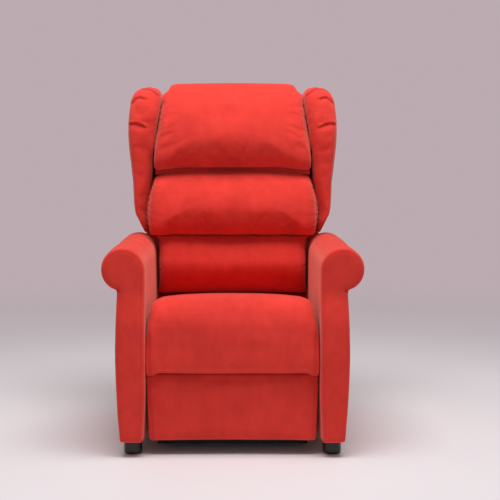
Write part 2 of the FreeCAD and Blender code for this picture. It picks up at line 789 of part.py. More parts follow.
keep(block("rear_panel", ("2 * dims.arm_inner", "dims.rear_panel_thickness",
                          "dims.rear_panel_high"),
           ("-dims.arm_inner",
            f"{arm_rear} - dims.rear_panel_inset - dims.rear_panel_thickness",
            "dims.foot_height")))

# Arms: a padded roll over a side panel, with a wooden frame board inside

arm_body = doc.addObject("PartDesign::Body", "arm_form")
arm_sketch = new_sketch(arm_body, "arm_outline", "XZ_Plane")
roll_x = "(dims.arm_inner + dims.roll_radius)"
neck_x = "(dims.arm_inner + dims.neck_reach)"
neck_drop = "sqrt(dims.roll_radius ^ 2 - (dims.neck_reach - dims.roll_radius) ^ 2)"
neck_z = f"(dims.roll_height - {neck_drop})"
outer_x = "(dims.arm_inner + dims.arm_base_width)"
chord = f"sqrt(({neck_x} - {outer_x}) ^ 2 + ({neck_z} - dims.foot_height) ^ 2)"
bulge_radius = f"(({chord} / 2) ^ 2 + dims.arm_bulge ^ 2) / (2 * dims.arm_bulge)"
inner_low = Vector(number("dims.arm_inner"), number("dims.foot_height"), 0)
inner_high = Vector(number("dims.arm_inner"), number("dims.roll_height"), 0)
roll_top = Vector(number(roll_x), number("dims.roll_height + dims.roll_radius"), 0)
neck = Vector(number(neck_x), number(neck_z), 0)
outer_low = Vector(number(outer_x), number("dims.foot_height"), 0)
across = (outer_low - neck).normalize()
bulge_out = Vector(-across.y, across.x, 0) * number("dims.arm_bulge")
bulge = (neck + outer_low) * 0.5 + bulge_out
if bulge.x < neck.x and bulge.x < outer_low.x:
    bulge = (neck + outer_low) * 0.5 - bulge_out
arm_sketch.addGeometry(Part.LineSegment(inner_low, inner_high))
arm_sketch.addGeometry(Part.Arc(inner_high, roll_top, neck))
arm_sketch.addGeometry(Part.Arc(neck, bulge, outer_low))
arm_sketch.addGeometry(Part.LineSegment(outer_low, inner_low))
for first, end_a, second, end_b in ((0, 2, 1, 2), (1, 1, 2, 2), (2, 1, 3, 1), (3, 2, 0, 1)):
    arm_sketch.addConstraint(Sketcher.Constraint("Coincident", first, end_a, second, end_b))
hold_point(arm_sketch, 0, 1, "dims.arm_inner", "dims.foot_height")
hold_point(arm_sketch, 0, 2, "dims.arm_inner", "dims.roll_height")
hold_point(arm_sketch, 1, 3, roll_x, "dims.roll_height")
hold_point(arm_sketch, 3, 1, outer_x, "dims.foot_height")
hold(arm_sketch, neck_x, "DistanceX", -1, 1, 1, 1, neck.x)
hold(arm_sketch, bulge_radius, "Radius", 2, number(bulge_radius))
arm_pad = pad(arm_body, arm_sketch, arm_length, reverse=True)
doc.recompute()
round_edges(arm_body, arm_pad, front_edges(arm_pad.Shape, 0), "dims.arm_front_edge")
place(arm_body, "0", depth("0"), "0")

frame_x = "dims.arm_inner + dims.frame_from_inner"
frame_space = block("frame_space", ("dims.frame_thickness + 2 * dims.soft_gap",
                                    f"{arm_length} - 2 * dims.frame_margin",
                                    "dims.frame_height + dims.overrun + dims.soft_gap"),
                    (f"{frame_x} - dims.soft_gap", depth("dims.frame_margin"),
                     "dims.foot_height - dims.overrun"))
arm_shell = cut("arm_shell", arm_body, [frame_space])

plate_x = "(dims.arm_inner + dims.plate_floor)"
plate_pocket = block("plate_pocket", ("dims.roll_radius", "dims.plate_wide", "dims.plate_tall"),
                     (plate_x, depth("dims.plate_front"), "dims.plate_low"))
left_arm = mirrored("arm_left", arm_shell)
keep(left_arm)
keep(cut("arm_right", arm_shell, [plate_pocket]))

frame_length = f"{arm_length} - 2 * dims.frame_margin - 2 * dims.soft_gap"
frame_board = block("frame_board", ("dims.frame_thickness", frame_length, "dims.frame_height"),
                    (frame_x, depth("dims.frame_margin + dims.soft_gap"), "dims.foot_height"))
foot_x = "dims.arm_inner + dims.foot_from_inner"
foot_spots = {"front": depth("dims.foot_front"),
              "rear": f"{arm_rear} - dims.foot_rear_inset"}
stud_tools = []
for end, y_text in foot_spots.items():
    stud_tools.append(round_bar(f"stud_hole_{end}", "dims.stud_radius",
                                "dims.stud_in_frame + dims.overrun",
                                (foot_x, y_text, "dims.foot_height - dims.overrun"), "z"))
keep(pair("arm_frames", cut("bored_frame", frame_board, stud_tools)))

# Feet: turned round pegs with a rounded lower edge, on threaded studs


def foot(name, y_text):
    body = doc.addObject("PartDesign::Body", name)
    sketch = new_sketch(body, name + "_profile", "XZ_Plane")
    radius = number("dims.foot_radius")
    top = number("dims.foot_height")
    edge = number("dims.foot_edge")
    sole = Vector(radius - edge, 0, 0)
    side = Vector(radius, edge, 0)
    rim = Vector(radius, top, 0)
    corner = Part.Circle(Vector(radius - edge, edge, 0), Z_AXIS, edge)
    sketch.addGeometry(Part.LineSegment(Vector(), sole))
    sketch.addGeometry(Part.ArcOfCircle(corner, radians(-90), 0))
    sketch.addGeometry(Part.LineSegment(side, rim))
    sketch.addGeometry(Part.LineSegment(rim, Vector(0, top, 0)))
    sketch.addGeometry(Part.LineSegment(Vector(0, top, 0), Vector()))
    for first, second in ((0, 1), (1, 2), (2, 3), (3, 4), (4, 0)):
        sketch.addConstraint(Sketcher.Constraint("Coincident", first, 2, second, 1))
    hold_point(sketch, 0, 1, "0", "0")
    hold_point(sketch, 0, 2, "dims.foot_radius - dims.foot_edge", "0")
    hold_point(sketch, 2, 1, "dims.foot_radius", "dims.foot_edge")
    hold_point(sketch, 2, 2, "dims.foot_radius", "dims.foot_height")
    hold_point(sketch, 3, 2, "0", "dims.foot_height")
    hold(sketch, "dims.foot_edge", "Radius", 1, edge)
    turn = body.newObject("PartDesign::Revolution", name + "_turn")
    turn.Profile = sketch
    turn.ReferenceAxis = (sketch, ["V_Axis"])
    turn.Angle = 360
    place(body, foot_x, y_text, "0")
    hole = round_bar(name + "_hole", "dims.stud_radius", "dims.stud_in_foot + dims.overrun",
                     (foot_x, y_text, "dims.foot_height - dims.stud_in_foot"), "z")
    return cut(name + "_bored", body, [hole])


feet = []
studs = []
for end, y_text in foot_spots.items():
    item = foot(f"foot_{end}", y_text)
    feet += [item, mirrored(f"foot_{end}_left", item)]
    stud = round_bar(f"stud_{end}", "dims.stud_radius", "dims.stud_in_foot + dims.stud_in_frame",
                     (foot_x, y_text, "dims.foot_height - dims.stud_in_foot"), "z")
    studs += [stud, mirrored(f"stud_{end}_left", stud)]
keep(group("feet", feet))
keep(group("foot_studs", studs))

# Control plate with its six push buttons

plate_body = block("plate_body", ("dims.plate_depth", "dims.plate_wide - 2 * dims.soft_gap",
                                  "dims.plate_tall - 2 * dims.soft_gap"),
                   (plate_x, depth("dims.plate_front + dims.soft_gap"),
                    "dims.plate_low + dims.soft_gap"))
plate_middle_y = "dims.plate_front + dims.plate_wide / 2"
plate_middle_z = "dims.plate_low + dims.plate_tall / 2"
button_holes = []
buttons = []
BUTTON_ROWS = ("back", "footrest", "lift")
for row, drive in enumerate(BUTTON_ROWS):
    for side, way in ((-1, "down"), (1, "up")):
        y_text = depth(f"{plate_middle_y} + {side} * dims.button_pitch / 2")
        z_text = f"{plate_middle_z} + {1 - row} * dims.button_pitch"
        button_holes.append(round_bar(f"{drive}_{way}_hole", "dims.button_radius",
                                      "dims.plate_depth + dims.overrun",
                                      (plate_x, y_text, z_text)))
        travel = "dims.plate_depth - dims.button_room + dims.button_proud"
        buttons.append(round_bar(f"{drive}_{way}_button",
                                 "dims.button_radius - dims.button_gap", travel,
                                 (f"{plate_x} + dims.button_room", y_text, z_text)))
keep(cut("control_plate", plate_body, button_holes))
for item in buttons:
    keep(item)

# Footrest linkage

crank_bar = link_bar("crank_bar", crank_pivot, knee, "dims.crank_half",
                     [("0", "dims.drive_radius"), (stay_reach, "dims.pin_radius"),
                      ("dims.crank_length", "dims.pin_radius")], lane(0))
drive_half = f"({side_inner} + dims.plate_thickness - dims.pin_head)"
keep(pair("footrest_cranks", crank_bar))
keep(round_bar("footrest_drive_shaft", "dims.drive_radius", f"2 * {drive_half}",
               (f"-{drive_half}", crank_pivot[0], crank_pivot[1])))
keep(lever("footrest_lever", "-dims.footrest_side", crank_pivot, footrest_tip,
           "dims.drive_radius"))
knee_pin = pin("knee_pin", knee, lane(1), lane_face(0))
stay_pin = pin("stay_pin", stay_root, lane(3), lane_face(0))
crank_pins = []
for item in (knee_pin, stay_pin):
    crank_pins += [item, mirrored(item.Name + "_left", item)]
keep(group("crank_pins", crank_pins))

control_bar = link_bar("control_bar", control_root, control_tip, "dims.link_half",
                       [("0", pin_bore), ("dims.crank_length", open_bore)], lane(2))
keep(pair("footrest_control_links", control_bar))

coupler = plate("coupler", [
    (f"{knee[0]} + dims.link_half", f"{knee[1]} - dims.link_half / 2"),
    (f"{knee[0]} + dims.link_half", f"{knee[1]} + dims.link_half / 2"),
    (f"{board_pivot[0]} + dims.link_half / 2", f"{board_pivot[1]} + dims.link_half"),
    (f"{board_pivot[0]} - dims.link_half / 2", f"{board_pivot[1]} + dims.link_half"),
    (f"{board_pivot[0]} - dims.link_half", f"{board_pivot[1]} + dims.link_half / 2"),
    (f"{board_pivot[0]} - dims.link_half", f"{board_pivot[1]} - dims.link_half / 2"),
    (f"{control_tip[0]} - dims.link_half / 2", f"{control_tip[1]} - dims.link_half"),
    (f"{knee[0]} - dims.link_half / 2", f"{knee[1]} - dims.link_half"),
    (f"{knee[0]} + dims.link_half / 2", f"{knee[1]} - dims.link_half")],
    [(knee[0], knee[1], pin_bore), (control_tip[0], control_tip[1], "dims.pin_radius"),
     (board_pivot[0], board_pivot[1], "dims.pin_radius")],
    "dims.link_thickness", lane(1))
keep(pair("footrest_couplers", coupler))
coupler_pins = []
for name, point in (("control_tip_pin", control_tip), ("board_pivot_pin", board_pivot)):
    item = pin(name, point, lane(2), lane_face(1))
    coupler_pins += [item, mirrored(item.Name + "_left", item)]
keep(group("coupler_pins", coupler_pins))

stay_bar = link_bar("stay_bar", stay_root, stay_tip, "dims.link_half",
                    [("0", pin_bore), (length_of(stay_root, stay_tip), open_bore)], lane(3))
keep(pair("footrest_stays", stay_bar))

# Footrest board, its brackets and its padded cover

board_front = depth("dims.footrest_front + dims.footrest_pad")
board_rear = depth("dims.footrest_front + dims.footrest_pad + dims.footrest_board")
keep(block("footrest_board", ("2 * (dims.footrest_half - dims.board_margin)",
                              "dims.footrest_board", "dims.footrest_high - 2 * dims.board_margin"),
           ("dims.board_margin - dims.footrest_half", board_front,
            "dims.footrest_low + dims.board_margin")))
footrest_bracket = plate("footrest_bracket", [
    (board_rear, f"{board_pivot[1]} - 3 * dims.link_half"),
    (f"{board_pivot[0]} + dims.link_half / 2", f"{board_pivot[1]} - dims.link_half"),
    (f"{board_pivot[0]} + dims.link_half", f"{board_pivot[1]} + dims.link_half / 2"),
    (f"{stay_tip[0]} + dims.link_half", f"{stay_tip[1]} - dims.link_half / 2"),
    (f"{stay_tip[0]} + dims.link_half", f"{stay_tip[1]} + dims.link_half / 2"),
    (f"{stay_tip[0]} + dims.link_half / 2", f"{stay_tip[1]} + dims.link_half"),
    (board_rear, f"{stay_tip[1]} + dims.link_half / 2")],
    [(board_pivot[0], board_pivot[1], pin_bore), (stay_tip[0], stay_tip[1], "dims.pin_radius")],
    "dims.link_thickness", lane(2))
keep(pair("footrest_brackets", footrest_bracket))
keep(pair("footrest_bracket_pins", pin("stay_tip_pin", stay_tip, lane(3), lane_face(2))))

pad_low = size("footrest_low")
pad_top = pad_low + size("footrest_high")
pad_front = size("footrest_front") - size("overall_depth") / 2
pad_rear = pad_front + size("footrest_pad")
pad_edge = size("footrest_edge")


def pad_section(level, inset):
    # an even pad outline at one level, its front corners rounded by the edge size
    reach = size("footrest_half") - inset
    taper = size("footrest_taper") * (pad_top - level) / (pad_top - pad_low)
    side = reach - taper
    front = pad_front + inset / 2
    corners = [Vector(-side, pad_rear, level), Vector(side, pad_rear, level),
               Vector(side, front + pad_edge, level), Vector(side - pad_edge, front, level),
               Vector(-side + pad_edge, front, level), Vector(-side, front + pad_edge, level)]
    bend = pad_edge * (1 - cos(radians(45)))
    right = Vector(side - bend, front + bend, level)
    left = Vector(-side + bend, front + bend, level)
    return Part.Wire([
        Part.LineSegment(corners[0], corners[1]).toShape(),
        Part.LineSegment(corners[1], corners[2]).toShape(),
        Part.Arc(corners[2], right, corners[3]).toShape(),
        Part.LineSegment(corners[3], corners[4]).toShape(),
        Part.Arc(corners[4], left, corners[5]).toShape(),
        Part.LineSegment(corners[5], corners[0]).toShape()])


def solid_part(name, shape):
    item = doc.addObject("Part::Feature", name)
    item.Shape = shape
    item.Placement = FreeCAD.Placement()
    return keep(item)


pad_rows = [pad_section(pad_low + pad_edge * rise, pad_edge * draw) for rise, draw in PAD_SHARES]
pad_rows += [pad_section(pad_top - pad_edge * rise, pad_edge * draw)
             for rise, draw in reversed(PAD_SHARES)]
solid_part("footrest_pad", Part.makeLoft(pad_rows, True, True))

# Leaning back: board, hinge brackets, lever and shell


def lean(item):
    return place(item, "0", shell_foot[0], shell_foot[1], X_AXIS, "-dims.back_lean")


board_half = lane(0)
board_parts = doc.addObject("PartDesign::Body", "back_board")
board_sketch = new_sketch(board_parts, "back_board_outline", "XZ_Plane")
BOARD_CORNERS = [(f"-{board_half}", "-dims.board_below"), (board_half, "-dims.board_below"),
                 (board_half, "dims.board_rise"), (f"-{board_half}", "dims.board_rise")]
for index, (x_text, z_text) in enumerate(BOARD_CORNERS):
    next_x, next_z = BOARD_CORNERS[(index + 1) % len(BOARD_CORNERS)]
    board_sketch.addGeometry(Part.LineSegment(Vector(number(x_text), number(z_text), 0),
                                              Vector(number(next_x), number(next_z), 0)))
for index, (x_text, z_text) in enumerate(BOARD_CORNERS):
    before = (index - 1) % len(BOARD_CORNERS)
    board_sketch.addConstraint(Sketcher.Constraint("Coincident", before, 2, index, 1))
    hold_point(board_sketch, index, 1, x_text, z_text)
pad(board_parts, board_sketch, "dims.board_thick")
back_board = lean(board_parts)
back_board.setExpression("Placement.Base.y",
                         f"{shell_foot[0]} - dims.shell_thick * cos(dims.back_lean)")
back_board.setExpression("Placement.Base.z",
                         f"{shell_foot[1]} + dims.shell_thick * sin(dims.back_lean)")
keep(back_board)

hinge_bracket = plate("hinge_bracket", [
    ("-dims.shell_thick", "dims.hinge_rise"),
    ("-dims.shell_thick - dims.board_thick", "-dims.bracket_below"),
    ("-dims.bracket_front + dims.link_half / 2", "-dims.bracket_below"),
    ("-dims.bracket_front", "dims.link_half / 2 - dims.bracket_below"),
    ("-dims.bracket_front", "dims.bracket_below"),
    ("-dims.shell_thick - dims.board_thick", "dims.bracket_above"),
    ("-dims.shell_thick", "dims.bracket_above")],
    [("-dims.hinge_from_rear", "dims.hinge_rise", pin_bore)],
    "dims.link_thickness", lane(0), shell_foot, "-dims.back_lean")
keep(pair("back_hinge_brackets", hinge_bracket))

board_foot = on_back("dims.shell_thick", "-dims.board_below")
board_seat = on_back("dims.shell_thick", "-dims.soft_gap")
back_lever_sides = []
for label, x_text in (("right", f"dims.back_side + {ear_x}"),
                      ("left", f"dims.back_side - {ear_x} - dims.link_thickness")):
    arm = plate(f"back_lever_{label}", [
        board_foot, board_seat,
        (f"{back_tip[0]} + dims.eye_radius", f"{back_tip[1]} + dims.eye_radius"),
        (f"{back_tip[0]} + dims.eye_radius", f"{back_tip[1]} - dims.eye_radius / 2"),
        (f"{back_tip[0]} + dims.eye_radius / 2", f"{back_tip[1]} - dims.eye_radius"),
        (f"{back_tip[0]} - dims.eye_radius / 2", f"{back_tip[1]} - dims.eye_radius"),
        (f"{back_tip[0]} - dims.eye_radius", back_tip[1])],
        [], "dims.link_thickness", x_text)
    stub_x = f"dims.back_side + {ear_face}"
    if label == "left":
        stub_x = f"dims.back_side - {ear_face} - dims.pin_head"
    stub = round_bar(f"back_lever_{label}_stub", "dims.pin_head_radius", "dims.pin_head",
                     (stub_x, back_tip[0], back_tip[1]))
    back_lever_sides.append(joined(f"back_lever_{label}_arm", [arm, stub]))
keep(group("back_lever", back_lever_sides))

shell_body = doc.addObject("PartDesign::Body", "back_shell")
shell_sketch = new_sketch(shell_body, "back_shell_outline", "XZ_Plane")
SHELL_HALF = [("dims.shell_half_low", "0"), ("dims.shell_half_low", "dims.shell_step_low"),
              ("dims.shell_half_shoulder", "dims.shell_step_high"),
              ("dims.shell_half_wide", "dims.shell_wide_at"),
              ("dims.shell_half_top", "dims.shell_length - dims.shell_corner"),
              ("dims.shell_crest_half + dims.shell_crest_side",
               "dims.shell_length - dims.shell_crest_drop"),
              ("dims.shell_crest_half", "dims.shell_length"),
              ("dims.shell_crest_half - dims.shell_crest_side",
               "dims.shell_length - dims.shell_crest_drop"),
              ("dims.shell_dip_half", "dims.shell_length - dims.shell_dip")]
shell_corners = SHELL_HALF + [(f"-({x_text})", z_text) for x_text, z_text in reversed(SHELL_HALF)]
for index, (x_text, z_text) in enumerate(shell_corners):
    next_x, next_z = shell_corners[(index + 1) % len(shell_corners)]
    shell_sketch.addGeometry(Part.LineSegment(Vector(number(x_text), number(z_text), 0),
                                              Vector(number(next_x), number(next_z), 0)))
for index, (x_text, z_text) in enumerate(shell_corners):
    before = (index - 1) % len(shell_corners)
    shell_sketch.addConstraint(Sketcher.Constraint("Coincident", before, 2, index, 1))
    hold_point(shell_sketch, index, 1, x_text, z_text)
shell_pad = pad(shell_body, shell_sketch, "dims.shell_thick")
doc.recompute()
round_edges(shell_body, shell_pad, front_edges(shell_pad.Shape, 0), "dims.shell_edge")
keep(lean(shell_body))

# Soft pieces of the back, as lofts through level sections

lean_angle = radians(size("back_lean"))
foot_y = number(shell_foot[0])
foot_z = number(shell_foot[1])


def rear_plane(forward, level):
    # depth, at a level, of a plane that lies forward of the shell's rear face
    return foot_y + (level - foot_z) * tan(lean_angle) - forward / cos(lean_angle)


def soft_section(level, half, front, rear):
    corner = (rear - front) * CORNER_SHARE
    crown = (rear - front) * CROWN_SHARE
    pinch = corner * PINCH_SHARE
    points = {
        "rear_left": Vector(-half + pinch, rear, level),
        "rear_right": Vector(half - pinch, rear, level),
        "side_right": Vector(half, (rear + front) / 2, level),
        "turn_right": Vector(half - pinch, front + corner, level),
        "bend_right": Vector(half - corner * BEND_SHARE, front + corner * BEND_SHARE, level),
        "face_right": Vector(half - corner, front + crown, level),
        "face": Vector(0, front, level)}
    flip = {name: Vector(-point.x, point.y, level) for name, point in points.items()}
    return Part.Wire([
        Part.LineSegment(points["rear_left"], points["rear_right"]).toShape(),
        Part.Arc(points["rear_right"], points["side_right"], points["turn_right"]).toShape(),
        Part.Arc(points["turn_right"], points["bend_right"], points["face_right"]).toShape(),
        Part.Arc(points["face_right"], points["face"], flip["face_right"]).toShape(),
        Part.Arc(flip["face_right"], flip["bend_right"], flip["turn_right"]).toShape(),
        Part.Arc(flip["turn_right"], flip["side_right"], flip["rear_right"]).toShape()])


panel_face = size("shell_thick") + size("board_thick") + size("soft_gap")


def back_cushion(name, low, high, half, deep, shares):
    rows = []
    for rise, width, reach, free in shares:
        level = low + high * rise
        plane = rear_plane(panel_face, level)
        rows.append(soft_section(level, half * width, plane - deep * reach, plane - deep * free))
    return solid_part(name, trimmed(Part.makeLoft(rows, True, False)))


def trimmed(shape):
    # the rear of a cushion is flat where it lies against the board
    far = size("overall_height")
    behind = Part.makeBox(far * 2, far, far * 2, Vector(-far, 0, -far))
    turn = FreeCAD.Rotation(X_AXIS, -size("back_lean"))
    behind.Placement = FreeCAD.Placement(Vector(0, rear_plane(panel_face, foot_z), foot_z),
                                         turn).multiply(behind.Placement)
    return shape.cut(behind)


head_high = size("overall_height") - size("head_low")
back_cushion("lumbar_cushion", size("lumbar_low"), size("lumbar_high"), size("lumbar_half"),
             size("lumbar_deep"), LUMBAR_SHARES)
back_cushion("middle_cushion", size("middle_low"), size("middle_high"), size("middle_half"),
             size("middle_deep"), MIDDLE_SHARES)
back_cushion("head_cushion", size("head_low"), head_high, size("head_half"),
             size("head_deep"), HEAD_SHARES)


def wing_section(level, outer, inner, front, rear):
    slack = min(size("wing_nose") / 2, (outer - inner) * NOSE_SHARE)
    inner_rear = Vector(inner, rear, level)
    outer_rear = Vector(outer - slack * WING_REAR_SHARE, rear, level)
    outer_mid = Vector(outer, (rear + front) / 2, level)
    outer_front = Vector(outer - slack * WING_FRONT_SHARE, front + slack, level)
    tip = Vector((outer + inner) / 2, front, level)
    inner_front = Vector(inner, front + slack, level)
    return Part.Wire([
        Part.LineSegment(inner_rear, outer_rear).toShape(),
        Part.Arc(outer_rear, outer_mid, outer_front).toShape(),
        Part.Arc(outer_front, tip, inner_front).toShape(),
        Part.LineSegment(inner_front, inner_rear).toShape()])


wing_rows = []
for rise, outward, reach, inward in WING_SHARES:
    level = size("wing_low") + size("wing_high") * rise
    plane = rear_plane(size("shell_thick") + size("soft_gap"), level)
    outer = size("wing_outer") * outward
    wing_rows.append(wing_section(level, outer, outer * inward + size("wing_inner_gap"),
                                  plane - size("wing_deep") * reach, plane))
wing_shape = Part.makeLoft(wing_rows, True, False)
solid_part("wing_right", wing_shape)
solid_part("wing_left", wing_shape.mirror(Vector(), X_AXIS))

# Seat cushion: a loft along X through side views, with its front flap


def seat_section(x, drop, draw):
    shift = size("overall_depth") / 2
    front = size("seat_front") + draw - shift
    rear = number(before_hinge("seat_before_hinge"))
    base = number(rail_top) + size("strap_thickness") + size("soft_gap")
    crown = size("seat_crown") - drop
    flap = size("flap_depth") - shift
    low = size("flap_low")
    fold = size("flap_round")
    edge = fold * FLAP_EDGE_SHARE
    turn = size("seat_front_round")
    rear_top = crown - size("seat_rear_drop")
    bend = turn * (1 - cos(radians(45)))
    spots = [
        (rear, base), (flap, base), (flap, low + fold),
        (flap - fold * FLAP_REAR_SHARE, low + edge), (front + fold, low),
        (front + edge, low + edge), (front + fold * FLAP_FACE_SHARE, low + fold),
        (front, (low + crown) / 2 - turn * FACE_DROP_SHARE),
        (front + fold * FLAP_FACE_SHARE, crown - turn), (front + bend, crown - bend),
        (front + turn, crown - fold * CROWN_EDGE_SHARE),
        ((front + rear) / 2, crown - size("seat_rear_drop") * TOP_DROP_SHARE),
        (rear - fold, rear_top), (rear - edge, rear_top - edge), (rear, rear_top - fold)]
    points = [Vector(x, y, z) for y, z in spots]
    lines = [Part.LineSegment(points[0], points[1]), Part.LineSegment(points[1], points[2])]
    for start in range(2, len(points) - 1, 2):
        lines.append(Part.Arc(points[start], points[start + 1], points[start + 2]))
    lines.append(Part.LineSegment(points[-1], points[0]))
    return Part.Wire([line.toShape() for line in lines])


turn_size = size("seat_front_round")
seat_rows = []
for share, drop, draw in reversed(SEAT_SHARES[1:]):
    seat_rows.append(seat_section(-size("seat_half") * share, turn_size * drop, turn_size * draw))
for share, drop, draw in SEAT_SHARES:
    seat_rows.append(seat_section(size("seat_half") * share, turn_size * drop, turn_size * draw))
solid_part("seat_cushion", Part.makeLoft(seat_rows, True, False))

# Actuators: a geared housing on an eye, and the rod that slides out of its sleeve


def actuator(name, eye, tip, side):
    length = length_of(eye, tip)
    sleeve = f"{length} - dims.{name}_sleeve_short"
    rod_start = f"dims.{name}_rod_start"
    angle = angle_of(eye, tip)
    wide = "2 * dims.eye_half"
    lug = block(name + "_lug", (wide, "dims.case_start + dims.overrun", "2 * dims.eye_radius"),
                ("-dims.eye_half", "0", "-dims.eye_radius"))
    knuckle = round_bar(name + "_knuckle", "dims.eye_radius", wide, ("-dims.eye_half", "0", "0"))
    case = block(name + "_case", ("dims.case_half + dims.motor_offset + dims.motor_radius",
                                  "dims.case_length", "2 * dims.case_half"),
                 ("-dims.case_half", "dims.case_start", "-dims.case_half"))
    case_end = "dims.case_start + dims.case_length"
    motor = round_bar(name + "_motor", "dims.motor_radius", "dims.motor_length + dims.overrun",
                      ("dims.motor_offset", f"{case_end} - dims.overrun", "0"), "y")
    tube = round_bar(name + "_tube", "dims.sleeve_radius", f"{sleeve} - dims.case_start",
                     ("0", "dims.case_start", "0"), "y")
    bore = round_bar(name + "_bore", "dims.rod_radius + dims.running_gap", sleeve,
                     ("0", f"{case_end} + dims.overrun", "0"), "y")
    eye_bore = round_bar(name + "_eye_bore", "dims.pin_radius + dims.running_gap",
                         f"{wide} + 2 * dims.overrun",
                         ("-dims.eye_half - dims.overrun", "0", "0"))
    housing = cut(name + "_actuator", joined(name + "_solid", [lug, knuckle, case, motor, tube]),
                  [bore, eye_bore])
    place(housing, side, eye[0], eye[1], X_AXIS, angle)
    shaft = round_bar(name + "_shaft", "dims.rod_radius", f"{length} - {rod_start}",
                      ("0", rod_start, "0"), "y")
    eye_ring = round_bar(name + "_ring", "dims.eye_radius", wide, ("-dims.eye_half", length, "0"))
    ring_bore = round_bar(name + "_ring_bore", "dims.pin_radius", f"{wide} + 2 * dims.overrun",
                          ("-dims.eye_half - dims.overrun", length, "0"))
    piston = cut(name + "_actuator_rod", joined(name + "_piston", [shaft, eye_ring]), [ring_bore])
    place(piston, side, eye[0], eye[1], X_AXIS, angle)
    keep(housing)
    keep(piston)


actuator("lift", lift_eye, lift_tip, "0")
actuator("back", back_eye, back_tip, "dims.back_side")
actuator("footrest", footrest_eye, footrest_tip, "-dims.footrest_side")

# Recompute, check and write every piece

doc.recompute()
for item in doc.Objects:
    if "Invalid" in item.State or "Error" in item.State:
        raise RuntimeError(f"{item.Name} failed to compute")
os.makedirs("parts", exist_ok=True)
for item in nodes:
    if item.Shape.isNull() or not item.Shape.isValid():
        raise RuntimeError(f"{item.Label} has no valid shape")
for item in nodes:
    item.Shape.exportStep(os.path.join("parts", item.Label + ".step"))
print(len(nodes), "pieces written")
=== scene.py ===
import json
from math import pi, radians

import bmesh
import bpy
import numpy as np
from mathutils import Matrix, Vector


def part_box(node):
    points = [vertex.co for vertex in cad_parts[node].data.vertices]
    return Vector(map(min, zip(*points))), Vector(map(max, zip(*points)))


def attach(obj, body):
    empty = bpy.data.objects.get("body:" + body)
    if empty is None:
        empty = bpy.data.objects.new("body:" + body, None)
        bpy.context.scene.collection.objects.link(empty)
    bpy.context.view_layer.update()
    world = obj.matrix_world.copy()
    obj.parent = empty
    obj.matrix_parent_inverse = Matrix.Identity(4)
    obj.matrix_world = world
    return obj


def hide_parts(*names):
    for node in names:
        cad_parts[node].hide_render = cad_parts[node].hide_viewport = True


# Riser recliner armchair in red suede-like cloth. Metres, +Z up, the chair faces -Y.

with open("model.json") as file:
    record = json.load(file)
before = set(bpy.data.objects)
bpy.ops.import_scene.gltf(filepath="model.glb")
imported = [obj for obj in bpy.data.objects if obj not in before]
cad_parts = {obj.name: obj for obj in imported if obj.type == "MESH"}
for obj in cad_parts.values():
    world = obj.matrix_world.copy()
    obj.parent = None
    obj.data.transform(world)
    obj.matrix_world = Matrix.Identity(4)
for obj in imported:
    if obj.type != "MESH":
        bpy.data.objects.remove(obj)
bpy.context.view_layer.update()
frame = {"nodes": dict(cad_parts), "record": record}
NODES = frame["nodes"]

SLOT_OF = {part["node"]: part["material_slot"] for part in frame["record"]["subparts"]}
BODY_OF = {node: body for body, members in frame["record"]["behaviour"]["bodies"].items()
           for node in members}


def new_object(name, data):
    made = bpy.data.objects.new(name, data)
    bpy.context.scene.collection.objects.link(made)
    return made


# Camera, in the frame of the photograph

PHOTO_SIZE = 500
MIDDLE_X = 232.5
EYE = -3.93
EYE_LEVEL = 0.92
CAMERA_PITCH = 4.9
CAMERA_LENS = 86.1
SENSOR_WIDTH = 36


def add_camera():
    data = bpy.data.cameras.new("camera")
    data.lens = CAMERA_LENS
    data.sensor_width = SENSOR_WIDTH
    data.shift_x = (PHOTO_SIZE / 2 - MIDDLE_X) / PHOTO_SIZE
    camera = new_object("camera", data)
    camera.location = (0, EYE, EYE_LEVEL)
    camera.rotation_euler = (radians(90 - CAMERA_PITCH), 0, 0)
    bpy.context.scene.camera = camera


# Materials

